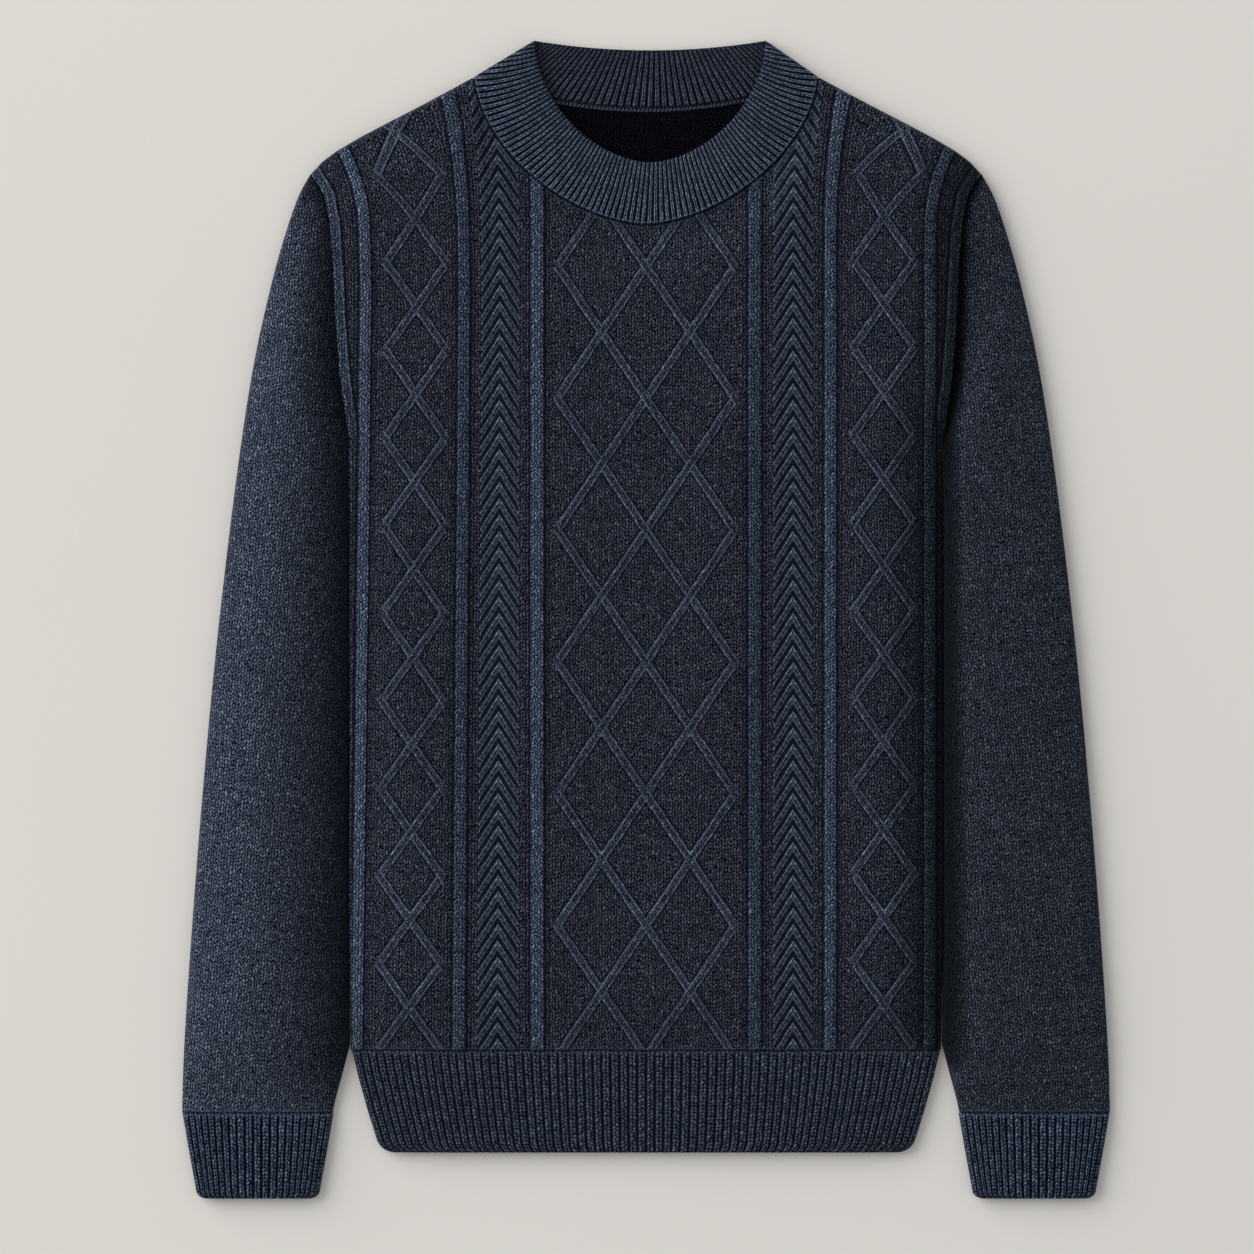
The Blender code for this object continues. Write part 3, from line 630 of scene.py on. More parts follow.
class CrossedLinesEffect(Effect):
    """Two families of slanting raised lines that cross each other inside a panel."""

    name = "crossed_lines"
    takes = (Plug("Across"), Plug("Height"), Plug("Reach", 1.0), Plug("Slope", 1.0),
             Plug("Period", 1.0), Plug("Half Width", 1.0))
    gives = (Plug("Mask"), Plug("Offset"), Plug("Rim"), Plug("Gutter"))
    softness = 0.3
    rim = (-1.9, -1.4, -0.6, 0.1)  # start, full part and end, from a line's edge
    hollow = (0.0, 0.5, 0.7, 1.9)  # the same of the gutter beside it
    end = (1.6, 2.4)  # the lines stop this far past their turn

    def build(self, graph: Graph, given: Terms) -> Terms:
        """Run bright yarns along both rims; the families pass over each other in turn.

        Args:
            graph: The group's tree.
            given: The place in the panel and the panel's sizes, in millimetres.

        Returns:
            The lines' mask, the distance from a line's middle, the rims and the gutters.
        """
        across, height, period = given["Across"], given["Height"], given["Period"]
        half, reach = given["Half Width"], given["Reach"]
        run = across / given["Slope"]
        spacing = period * given["Slope"]
        offsets = [(turns / period).off_whole() * spacing for turns in (height + run, height - run)]
        masks = [graph.fade(half - self.softness, half + self.softness, abs(offset))
                 for offset in offsets]
        turn = ((height * 2.0 / period + 0.5).floor() * 0.5).fract()
        first, second = masks[0] > 0.5, masks[1] > 0.5
        over = graph.larger(first * (turn < 0.25), first * (1.0 - second))
        offset = graph.blend(over, offsets[1], offsets[0])
        rim = graph.window(abs(offset), *(half + place for place in self.rim))
        nearest = graph.smaller(abs(offsets[0]), abs(offsets[1]))
        gutter = graph.window(nearest, *(half + place for place in self.hollow))
        inside = graph.fade(*(reach + place for place in self.end), abs(across))
        past = abs(across) > reach
        mask = graph.blend(past, graph.larger(*masks), graph.smaller(*masks))
        return {
            "Mask": mask * inside,
            "Offset": offset,
            "Rim": rim * (mask > 0.3) * inside,
            "Gutter": gutter * (1.0 - past) * inside,
        }


class ChevronEffect(Effect):
    """A band of nested arrowheads that point up."""

    name = "chevron_band"
    takes = (Plug("Across"), Plug("Height"), Plug("Arm", 1.0), Plug("Steepness", 1.0),
             Plug("Pitch", 1.0), Plug("Share", 0.3))
    gives = (Plug("Mask"), Plug("Band"), Plug("Offset"), Plug("Rim"))
    edge = (-0.04, 0.08)  # the arm's soft edge, in shares of the pitch
    rim = (0.42, 0.62, 0.8, 0.98)  # start, full part and end, in shares of the arm
    end = 0.9  # the arms fade out over this distance

    def build(self, graph: Graph, given: Terms) -> Terms:
        """Make each arm a raised wale with a hollow below it.

        Args:
            graph: The group's tree.
            given: The place in the band and the band's sizes, in millimetres.

        Returns:
            The arms' mask, the band's mask, the distance from an arm's middle and the rims.
        """
        out = abs(given["Across"])
        share = given["Share"]
        apart = ((given["Height"] + out * given["Steepness"]) / given["Pitch"]).off_whole()
        band = graph.fade(given["Arm"], given["Arm"] + self.end, out)
        return {
            "Mask": graph.fade(*(share + place for place in self.edge), abs(apart)) * band,
            "Band": band,
            "Rim": graph.window(abs(apart) / share, *self.rim) * band,
            "Offset": apart / share,
        }


class UprightRibEffect(Effect):
    """A raised rib that runs up the garment between two gutters."""

    name = "upright_rib"
    takes = (Plug("Across"), Plug("Half Width", 1.0), Plug("Gutter Width", 1.8))
    gives = (Plug("Mask"), Plug("Gutter"))
    softness = 0.35
    near = (-0.1, 0.5)  # the gutter sets in here, from the rib's edge
    full_share = 0.75  # share of the gutter's width at which it starts to let go
    apart = 1.1  # distance between the two gutters
    far = (0.0, 0.5, 0.9, 1.4)
    far_depth = 0.5

    def build(self, graph: Graph, given: Terms) -> Terms:
        """Lay the gutters just outside the rib, and a fainter pair further out.

        Args:
            graph: The group's tree.
            given: The place beside the rib and the rib's sizes, in millimetres.

        Returns:
            The rib's mask and its gutters.
        """
        out = abs(given["Across"]) - given["Half Width"]
        width = given["Gutter Width"]
        near = graph.window(out, *self.near, width * self.full_share, width)
        far = graph.window(out, *(width + self.apart + place for place in self.far))
        return {
            "Mask": graph.fade(-self.softness, self.softness, out),
            "Gutter": graph.larger(near, far * self.far_depth),
        }


class DeepeningEffect(Effect):
    """Painted shade: the colour darkens towards a fold, where the cloth turns under and shade
    falls.
    """

    name = "deepening"
    takes = (Plug("Distance"), Plug("Width", 10.0), Plug("Depth", 0.5), Plug("Curve", 1.0))
    gives = (Plug("Share"),)

    def build(self, graph: Graph, given: Terms) -> Terms:
        """Paint the shade darkest at the fold and not at all beyond the width."""
        away = graph.math("DIVIDE", given["Distance"], given["Width"], clamp=True)
        return {"Share": (1.0 - away ** given["Curve"]) * given["Depth"]}


class SeamEffect(Effect):
    """A linked seam: a dark groove with a row of small slanted stitches beside it."""

    name = "linked_seam"
    takes = (Plug("Distance"), Plug("Along"), Plug("Start", 0.7), Plug("Width", 1.2))
    gives = (Plug("Groove"), Plug("Rope"))
    wander_scale, wander = 1.3, 0.9
    slant = 0.6
    softness = 0.4
    groove = (0.35, 1.0)  # the groove ends here, from the seam
    stitch = (0.25, 0.45)  # edge of a stitch, in shares of the pitch

    def build(self, graph: Graph, given: Terms) -> Terms:
        """Let the stitches wander a little off their line.

        Args:
            graph: The group's tree.
            given: The place beside the seam and the sizes of the row of stitches.

        Returns:
            The groove and the stitches.
        """
        along, start, width = given["Along"], given["Start"], given["Width"]
        drift = graph.noise(graph.join(along, given["Distance"]), self.wander_scale) - 0.5
        distance = given["Distance"] + drift * self.wander
        end = start + width
        band = graph.window(distance, start, start + self.softness, end - self.softness, end)
        turn = along + (distance - start) / width * self.slant
        return {
            "Groove": graph.fade(*self.groove, given["Distance"]),
            "Rope": band * graph.fade(*self.stitch, turn.off_middle()),
        }


class Effects:
    """The node groups that the finishes share."""

    def __init__(self) -> None:
        """Build each group once."""
        self.stitch = StitchEffect()
        self.yarn = YarnEffect()
        self.crossed_lines = CrossedLinesEffect()
        self.chevron = ChevronEffect()
        self.rib = UprightRibEffect()
        self.seam = SeamEffect()
        self.deepening = DeepeningEffect()


# ---------------------------------------------------------------- yarns and finishes

@dataclass(frozen=True)
class Gauge:
    """Size of the stitches, in millimetres."""

    wale: float = 3.8
    course: float = 2.5


GAUGE = Gauge()


@dataclass(frozen=True)
class Yarn:
    """Linear colours of a heather yarn's dark, middle and light fibres."""

    dark: Colour
    middle: Colour
    light: Colour
    warmth: float = 0.15  # share of a neutral grey fibre in the lightest flecks
    streak: float = 0.0  # how far whole rows differ in tone

    def inputs(self) -> dict[str, Value]:
        """The colours as inputs of the yarn effect."""
        return {"Dark": (*self.dark, 1.0), "Middle": (*self.middle, 1.0),
                "Light": (*self.light, 1.0), "Warmth": self.warmth, "Streak": self.streak}


CHARCOAL = Yarn((0.0006, 0.0014, 0.0048), (0.0092, 0.0114, 0.0174), (0.0850, 0.0990, 0.1400), 0.25)
SLATE = Yarn((0.0040, 0.0080, 0.0185), (0.0232, 0.0332, 0.0560), (0.1440, 0.1840, 0.2640), 0.1)
SLEEVE_YARN = Yarn((0.0036, 0.0062, 0.0150), (0.0162, 0.0214, 0.0335),
                   (0.1620, 0.1960, 0.2760), 0.1, 0.7)
# painted shade: the sleeve yarn darkened for the right sleeve, which lies away from the light
PAINTED_SHADE_SLEEVE_YARN = Yarn((0.0023, 0.0036, 0.0086), (0.0091, 0.0115, 0.0178),
                       (0.0900, 0.1060, 0.1450), 0.1, 0.9)
HEM_YARN = Yarn((0.0016, 0.0025, 0.0056), (0.0162, 0.0214, 0.0348), (0.0920, 0.1170, 0.1680))
CUFF_YARN = Yarn((0.0003, 0.0006, 0.0018), (0.0126, 0.0206, 0.0378), (0.1220, 0.1730, 0.2740))
COLLAR_YARN = Yarn((0.0003, 0.0011, 0.0038), (0.0225, 0.0318, 0.0530), (0.1760, 0.2320, 0.3450))
# painted shade: a darker copy of the collar yarn for the back band's inner face
PAINTED_SHADE_COLLAR_YARN = Yarn((0.0007, 0.0016, 0.0048), (0.0190, 0.0255, 0.0405),
                         (0.1010, 0.1240, 0.1780))
# painted shade: a near-black yarn for the back's inside, standing in for the shade in the neck
# opening
PAINTED_SHADE_YARN = Yarn((0.0008, 0.0008, 0.0018), (0.0020, 0.0020, 0.0042), (0.0058, 0.0060, 0.0110))


@dataclass(frozen=True)
class Places:
    """What a finish reads from a piece's two maps."""

    wales: Term
    courses: Term
    edge: Term
    seam: Term


@dataclass(frozen=True)
class Finish:
    """A knitted finish: its yarn, stitches and nap."""

    name: str
    yarn: Yarn
    slant: float = 0.75
    wander: float = 0.95
    unrest: float = 0.7
    gap: float = 1.0  # depth of the gap between two stitches of a wale
    relief: float = 0.0009
    specular: float = 0.03
    sheen: float = 0.05
    sheen_roughness: float = 0.55
    sheen_tint: Colour = (0.50, 0.64, 0.90)
    groove: float = 0.8  # depth of tone in the groove beside a seam
    rope: float = 0.35  # how light the row of linking stitches is
    rope_start: float = 0.7
    rope_width: float = 1.2
    rope_pitch: float = 2.6
    rope_colour: Colour | None = None
    deep_width: float = 0.0  # painted shade darkens the colour beside the fold over this distance
    deep_depth: float = 0.0
    deep_curve: float = 1.0  # above 1 the painted shade stays dark for longer before it lets go
    deep_right_only: bool = False

    def stitches(self, graph: Graph, effects: Effects, wales: Term, courses: Term) -> Terms:
        """Place the finish's stitches on a map."""
        return effects.stitch.place(graph, {
            "Wales": wales, "Courses": courses, "Slant": self.slant, "Wander": self.wander,
            "Unrest": self.unrest, "Gap": self.gap})

    def spin(self, graph: Graph, effects: Effects, places: Places, stitch: Terms,
             yarn: Yarn) -> Terms:
        """Colour stitches in a yarn."""
        return effects.yarn.place(graph, {"Wales": places.wales, "Courses": places.courses,
                                          **stitch, **yarn.inputs()})

    def pattern(self, graph: Graph, effects: Effects, places: Places) -> Terms:
        """Colour, roughness and height of the plain stitch."""
        stitch = self.stitches(graph, effects, places.wales, places.courses)
        return self.spin(graph, effects, places, stitch, self.yarn)

    def seam(self, graph: Graph, effects: Effects, places: Places, result: Terms) -> Terms:
        """Lay the seam's groove and linking stitches over a pattern.

        Args:
            graph: The material's tree.
            effects: The shared node groups.
            places: The piece's maps.
            result: Colour, roughness and height so far.

        Returns:
            Colour, roughness and height.
        """
        seam = effects.seam.place(graph, {
            "Distance": places.seam, "Along": places.wales * (GAUGE.wale / self.rope_pitch),
            "Start": self.rope_start, "Width": self.rope_width})
        groove = seam["Groove"] * self.groove
        rope = seam["Rope"] * self.rope
        colour = graph.blend_colour(groove, result["Colour"], (*self.yarn.dark, 1.0))
        colour = graph.blend_colour(rope, colour, (*(self.rope_colour or self.yarn.light), 1.0))
        return {**result, "Colour": colour, "Height": result["Height"] - groove + rope}

    def deepen(self, graph: Graph, effects: Effects, places: Places, result: Terms) -> Terms:
        """Paint shade over a pattern's colour beside the fold.

        Args:
            graph: The material's tree.
            effects: The shared node groups.
            places: The piece's maps.
            result: Colour, roughness and height so far.

        Returns:
            Colour, roughness and height.
        """
        if not self.deep_width:
            return result
        share = effects.deepening.place(graph, {
            "Distance": places.edge, "Width": self.deep_width, "Depth": self.deep_depth,
            "Curve": self.deep_curve})["Share"]
        if self.deep_right_only:
            share = share * (places.wales > 0.0)
        # painted shade: the colour is blended towards black beside the fold
        return {**result, "Colour": graph.blend_colour(share, result["Colour"], BLACK)}

    def material(self, effects: Effects) -> bpy.types.Material:
        """Make the material.

        Args:
            effects: The shared node groups.

        Returns:
            The material, named after the finish.
        """
        made = bpy.data.materials.new(self.name)
        made.use_nodes = True
        graph = Graph(made.node_tree)
        shader = made.node_tree.nodes["Principled BSDF"]
        places = Places(*(number for name in (MAP, EDGE_MAP) for number in graph.split(
            graph.term("UV", "UVMap", {}, uv_map=name))))
        result = self.pattern(graph, effects, places)
        result = self.seam(graph, effects, places, result)
        result = self.deepen(graph, effects, places, result)
        bump = graph.term("Normal", "Bump", {"Strength": 1.0, "Distance": self.relief,
                                             "Height": result["Height"]})
        for name, value in (
                ("Metallic", 0.0), ("Specular IOR Level", self.specular),
                ("Sheen Weight", self.sheen), ("Sheen Roughness", self.sheen_roughness),
                ("Sheen Tint", (*self.sheen_tint, 1.0)), ("Base Color", result["Colour"]),
                ("Roughness", result["Roughness"]), ("Normal", bump)):
            graph.put(shader.inputs[name], value)
        return made


@dataclass(frozen=True)
class RibFinish(Finish):
    """A ribbed finish: one raised wale for each rib, with a gutter beside it."""

    gutter: float = 0.95
    gutter_start: float = 0.24
    gutter_end: float = 0.38
    gutter_relief: float = 1.2
    waver: float = 0.3  # how far a gutter strays, in wales
    waver_across: float = 0.8
    waver_along: float = 0.35
    fade: float = 4.0  # the gutters set in over this distance from the seam
    fade_start: float = -0.5

    def pattern(self, graph: Graph, effects: Effects, places: Places) -> Terms:
        """The plain stitch, with painted shade in the gutters between the ribs.

        Args:
            graph: The material's tree.
            effects: The shared node groups.
            places: The piece's maps.

        Returns:
            Colour, roughness and height.
        """
        result = super().pattern(graph, effects, places)
        stray = graph.noise(graph.join(places.wales * self.waver_across,
                                       places.courses * self.waver_along), 1.0)
        off = (places.wales + (stray - 0.5) * self.waver).off_middle()
        depth = graph.smooth(self.fade_start, self.fade, places.seam) * self.gutter
        gutter = graph.smooth(self.gutter_start, self.gutter_end, off) * depth
        # painted shade: the gutters are darkened towards the dark yarn
        colour = graph.blend_colour(gutter, result["Colour"], (*self.yarn.dark, 1.0))
        return {**result, "Colour": colour,
                "Height": result["Height"] - gutter * self.gutter_relief}


# ---------------------------------------------------------------- the body's outline

@dataclass(frozen=True)
class Fold:
    """A soft trough (below zero) or ridge in the cloth as it lies."""

    x: float
    y: float
    lean: float
    half_width: float
    half_length: float
    height: float


@dataclass(frozen=True)
class Outline:
    """Outline and thickness of the body, in millimetres."""

    wall: float = 2.4
    seam_gap: float = 0.3
    height: float = 8.6
    edge_drop: float = 3.0  # the cloth is this much lower at its rolled sides
    neck_half_width: float = 112.1
    neck_top: float = 353.1
    neck_depth: float = 96.5
    neck_power: float = 1.72
    back_neck_depth: float = 19.9
    bottom: float = -280.4
    underarm_y: float = 117.0
    underarm_blend: float = 13.0
    shoulder: tuple[Point, ...] = (
        (112.1, 353.1), (144.1, 335.8), (167.6, 323.7), (186.4, 313.8), (201.0, 305.2),
        (210.6, 298.2), (217.8, 290.4))
    armhole: tuple[Point, ...] = (
        (217.8, 290.4), (208.6, 274.8), (205.0, 255.3), (203.2, 229.2), (201.6, 194.6),
        (198.9, 159.4), (195.0, 130.1), (193.6, 117.0))
    side: tuple[Point, ...] = ((193.6, 117.0), (193.6, -215.5), (192.0, -280.4))
    lean_start: float = 254.0
    lean_table: tuple[Point, ...] = ((65.0, 0.0), (120.0, 0.0011), (185.0, 0.0050))
    tilt_table: tuple[Point, ...] = ((75.0, 0.0), (120.0, 0.0075), (153.0, 0.0112),
                                     (185.0, 0.0127))
    tilt_middle: float = 7.0  # the left side's columns stand in their place here
    tilt_top: float = 215.0  # above this height they turn back
    tilt_return: float = 3.0
    crown: float = 6.0  # rise of the soft pillow from its rolled edges inwards
    crown_reach: float = 50.0
    folds: tuple[Fold, ...] = (
        Fold(-166.0, -30.0, 0.00, 19.0, 300.0, 1.3),
        Fold(-105.0, -10.0, 0.00, 17.0, 340.0, -3.1),
        Fold(-75.0, 20.0, 0.01, 14.0, 230.0, 0.7),
        Fold(-12.0, -60.0, 0.01, 26.0, 260.0, -1.1),
        Fold(46.0, 10.0, 0.00, 16.0, 290.0, 1.0),
        Fold(91.0, -40.0, 0.00, 20.0, 310.0, -3.5),
        Fold(152.0, 0.0, -0.01, 20.0, 280.0, 1.2),
    )
    fold_fade: float = 40.0

    def distance(self, points: Sequence[Point], x: Numbers, y: Numbers) -> Numbers:
        """Distance from a line and from its mirror image on the other side."""
        return Line(points).distance(np.abs(x), y)

    def edge_x(self, y: Numbers) -> Numbers:
        """Half-width of the body at a height."""
        pairs = sorted({(py, px) for px, py in self.armhole + self.side})
        return read_table(y, pairs)

    def shoulder_y(self, x: Numbers) -> Numbers:
        """The shoulder's edge above |x|."""
        return read_table(np.abs(x), self.shoulder)

    def front_top(self, x: Numbers) -> Numbers:
        """The front's upper edge: the neckline or the shoulder.

        Args:
            x: Places across the garment.

        Returns:
            Heights of the edge.
        """
        share = np.minimum(np.abs(x) / self.neck_half_width, 1.0)
        depth = self.neck_depth + self.seam_gap / 2
        neck = self.neck_top - depth * (1.0 - share ** self.neck_power) ** (1.0 / self.neck_power)
        return np.where(np.abs(x) < self.neck_half_width, neck, self.shoulder_y(x))

    def back_top(self, x: Numbers) -> Numbers:
        """The back's upper edge.

        Args:
            x: Places across the garment.

        Returns:
            Heights of the edge.
        """
        share = np.minimum(np.abs(x) / self.neck_half_width, 1.0)
        neck = self.neck_top - self.seam_gap / 2 - self.back_neck_depth * (1.0 - share ** 2)
        return np.where(np.abs(x) < self.neck_half_width, neck, self.shoulder_y(x))

    def fold_distance(self, x: Numbers, y: Numbers) -> Numbers:
        """Distance from the rolled shoulder and side edges."""
        return np.minimum(self.distance(self.shoulder, x, y), self.distance(self.side, x, y))

    def side_distance(self, x: Numbers, y: Numbers) -> Numbers:
        """Distance from the armhole and the side edge."""
        return np.minimum(self.distance(self.armhole, x, y), self.distance(self.side, x, y))

    def lean(self, place: Numbers, y: Numbers, side: Numbers) -> Numbers:
        """Outward lean of a column of stitches; the left side's columns draw in as they rise.

        Args:
            place: Places on the knitting, without their side.
            y: Places up the garment.
            side: -1 or 1 for each column.

        Returns:
            How far each column leans out.
        """
        places, rates = np.array(self.lean_table).T
        out = np.interp(place, places, rates) * np.clip(y - self.lean_start, 0, None) ** 2
        places, rates = np.array(self.tilt_table).T
        climb = y - self.tilt_middle - self.tilt_return * np.clip(y - self.tilt_top, 0, None)
        drawn_in = np.interp(place, places, rates) * climb
        return out - np.where(side < 0, drawn_in, 0.0)

    def edge_height(self, x: Numbers, y: Numbers) -> Numbers:
        """Thickness of the body without its crown: lower near the rolled sides."""
        share = np.clip(self.distance(self.side, x, y) / self.crown_reach, 0.0, 1.0)
        return self.height - self.edge_drop * (1.0 - share) ** 2

    def soft_height(self, x: Numbers, y: Numbers) -> Numbers:
        """Rise of the crown and the soft folds, fading out at the hem and the neck.

        Args:
            x: Places across the garment.
            y: Places up the garment.

        Returns:
            The rise.
        """
        distance = self.fold_distance(x, y)
        rise = np.zeros(np.shape(x))
        for fold in self.folds:
            across = np.clip((x - fold.x - fold.lean * (y - fold.y)) / fold.half_width, -2, 2)
            along = np.clip((y - fold.y) / fold.half_length, -1, 1)
            rise += fold.height * np.cos(across * pi / 4) ** 2 * np.cos(along * pi / 2) ** 2
        near = np.minimum(np.minimum(distance - self.height / 2, y - self.bottom),
                          self.front_top(x) - y)
        share = np.clip(distance / self.crown_reach, 0.0, 1.0)
        crown = self.crown * (1.0 - (1.0 - share) ** 2)
        ends = smoothstep(np.minimum(y - self.bottom, self.front_top(x) - y) / self.fold_fade)
        return rise * smoothstep(near / self.fold_fade) + crown * ends

    def face_z(self, x: Numbers, y: Numbers, upper: bool, inside: bool) -> Numbers:
        """Height of one of the body's four faces, which meet in pairs at the rolled edges.

        Args:
            x: Places across the garment.
            y: Places up the garment.
            upper: Whether it belongs to the front.
            inside: Whether it faces into the body.

        Returns:
            Heights above the floor, without the pattern.
        """
        thick = self.edge_height(x, y)
        inset = self.wall if inside else 0.0
        middle = (thick + (self.seam_gap if upper else -self.seam_gap)) / 2
        level = thick + self.soft_height(x, y) - inset if upper else inset
        rolled = roll(self.fold_distance(x, y) - inset, self.height / 2 - inset)
        return middle + (level - middle) * rolled

    def inset(self, y: Numbers) -> Numbers:
        """How far a panel's inner face ends inside the side edge."""
        return self.wall * smoothstep((self.underarm_y + self.underarm_blend - y)
                                      / self.underarm_blend)

    def inner_top(self, top: Callable[[Numbers], Numbers]) -> Callable[[Numbers], Numbers]:
        """Upper edge of a panel's inner face: one wall below the rolled shoulder.

        Args:
            top: Upper edge of the panel's outer face.

        Returns:
            Upper edge of its inner face.
        """
        (ax, ay), (bx, by) = self.shoulder[0], self.shoulder[-1]
        drop = self.wall * np.hypot(1.0, (ay - by) / (bx - ax))

        def at(x: Numbers) -> Numbers:
            """Height of the inner face's edge above x."""
            return np.minimum(top(x), self.shoulder_y(x) - drop)
        return at


# ---------------------------------------------------------------- the raised pattern

@dataclass(frozen=True)
class CrossedLines:
    """A panel of crossing raised lines."""

    centre: float
    reach: float  # the lines turn back this far from the centre
    period: float
    start: float  # height of a crossing on the centre line
    turns: float  # periods that a line climbs from the centre to its turn
    side: float = 1.0  # -1 where the centre is counted to the left
    half_width: float = 3.35
    height: float = 0.85
    under_share: float = 0.86  # height of the family that is knitted below the other
    roundness: float = 0.8
    foot: float = 0.5  # a line's foot is this much wider on each side
    end: float = 2.8  # the lines stop this far past their turn
    end_fade: float = 1.6

    @property
    def slope(self) -> float:
        """Travel across for each millimetre up."""
        return self.reach / (self.turns * self.period)

    def rise(self, across: Numbers, y: Numbers) -> Numbers:
        """Height of the lines at places from the panel's centre.

        Args:
            across: Distances from the form's middle.
            y: Places up the garment.

        Returns:
            The heights.
        """
        lines = []
        for sign, share in ((1.0, 1.0), (-1.0, self.under_share)):
            turns = (y - self.start + sign * across / self.slope) / self.period
            offset = np.abs(turns - np.round(turns)) * self.period * self.slope
            profile = np.cos(np.clip(offset / (self.half_width + self.foot), 0, 1) * pi / 2)
            lines.append(profile ** self.roundness * share)
        past = np.abs(across) > self.reach
        best = np.where(past, np.minimum(*lines), np.maximum(*lines))
        return self.height * best * smoothstep(
            (self.reach + self.end - np.abs(across)) / self.end_fade)

    def inputs(self, across: Term, y: Term) -> dict[str, Value]:
        """Inputs of the matching effect."""
        return {"Across": across, "Height": y - self.start, "Reach": self.reach,
                "Slope": self.slope, "Period": self.period, "Half Width": self.half_width}


@dataclass(frozen=True)
class Chevrons:
    """A band of nested arrowheads."""

    centre: float = 95.5
    arm: float = 12.0
    drop: float = 18.9
    pitch: float = 10.64
    start: float = 320.5
    share: float = 0.32
    height: float = 0.85
    spread: float = 0.42  # share of the pitch over which an arm falls off
    end: float = 1.0
    end_fade: float = 1.4

    @property
    def steepness(self) -> float:
        """Drop of an arm for each millimetre across."""
        return self.drop / self.arm

    def rise(self, across: Numbers, y: Numbers) -> Numbers:
        """Height of the band at places from its centre.

        Args:
            across: Distances from the form's middle.
            y: Places up the garment.

        Returns:
            The heights.
        """
        out = np.abs(across)
        turns = (y - self.start + out * self.steepness) / self.pitch
        apart = np.abs(turns - np.round(turns))
        profile = np.cos(np.clip(apart / self.spread, 0, 1) * pi / 2)
        return self.height * profile * smoothstep((self.arm + self.end - out) / self.end_fade)


@dataclass(frozen=True)
class UprightRib:
    """A raised rib that runs up the front."""

    centre: float
    half_width: float
    height: float = 1.1
    gutter_width: float = 1.6
    gutter_depth: float = 0.5
    tones: Point = (1.0, 1.0)  # painted light and shade: how much lighter or darker the left and the right rib are

    def rise(self, across: Numbers) -> Numbers:
        """Height of the rib at places from its centre.

        Args:
            across: Distances from the form's middle.

        Returns:
            The heights.
        """
        out = np.abs(across) - self.half_width
        rib = self.height * smoothstep((0.5 - out) / 1.5)
        beside = (out - 0.2 - self.gutter_width / 2) / (self.gutter_width * 0.75)
        return rib - self.gutter_depth * np.cos(np.clip(beside, -1, 1) * pi / 2) ** 2


@dataclass(frozen=True)
class RaisedPattern:
    """The front's whole pattern, on both sides of its centre line."""

    lattice: CrossedLines = CrossedLines(0.0, 57.6, 85.6, 229.2, 1.0)
    right_diamonds: CrossedLines = CrossedLines(154.4, 20.0, 56.9, 261.7, 0.5)
    left_diamonds: CrossedLines = CrossedLines(151.1, 20.0, 56.9, 260.1, 0.5, -1.0)
    chevrons: Chevrons = Chevrons()
    ribs: tuple[UprightRib, ...] = (
        UprightRib(70.6, 4.1, tones=(1.16, 0.80)), UprightRib(119.6, 3.8, tones=(0.86, 1.0)),
        UprightRib(184.6, 3.7, tones=(1.25, 0.95)))
    armhole_band: float = 6.4  # width of the raised band along the armhole
    band_start: float = 80.0  # it grows out of the side edge over this height
    band_full: float = 150.0
    band_height: float = 0.8

    def band(self, edge: Numbers, y: Numbers) -> Numbers:
        """Height of the band at a distance from the armhole."""
        width = smoothstep((self.armhole_band + 0.7 - edge) / 1.4)
        return self.band_height * width * smoothstep(
            (y - self.band_start) / (self.band_full - self.band_start))

    def rise(self, place: Numbers, y: Numbers, edge: Numbers) -> Numbers:
        """Height of the pattern at a place across the front, this far from its side edge.

        Args:
            place: Places on the knitting.
            y: Places up the garment.
            edge: Distances from the side edge.

        Returns:
            The heights.
        """
        out = np.abs(place)
        rise = self.lattice.rise(place, y)
        for lines in (self.left_diamonds, self.right_diamonds):
            rise = np.maximum(rise, lines.rise(lines.side * place - lines.centre, y))
        rise = np.maximum(rise, self.chevrons.rise(out - self.chevrons.centre, y))
        rise = np.maximum(rise, self.band(edge, y))
        for rib in self.ribs:
            rise = rise + rib.rise(out - rib.centre)
        return rise


OUTLINE = Outline()
PATTERN = RaisedPattern()


@dataclass
class Raised:
    """What the raised forms lay over the front's plain ground."""

    graph: Graph
    wales: Term
    courses: Term
    mask: Value = 0.0  # where the raised yarn shows
    rim: Value = 0.0  # bright yarns along a form's edge
    gutter: Value = 0.0  # painted shade in the hollows beside a form
    # painted light and shade: how much lighter or darker the ribs are made
    tone: Value = 1.0

    def add(self, mask: Value = 0.0, rim: Value = 0.0, gutter: Value = 0.0) -> None:
        """Lay one more form over the others.

        Args:
            mask: Where the form takes on the raised yarn.
            rim: Its bright edges.
            gutter: The hollows beside it.
        """
        self.mask = self.graph.larger(self.mask, mask)
        self.rim = self.graph.larger(self.rim, rim)
        self.gutter = self.graph.larger(self.gutter, gutter)


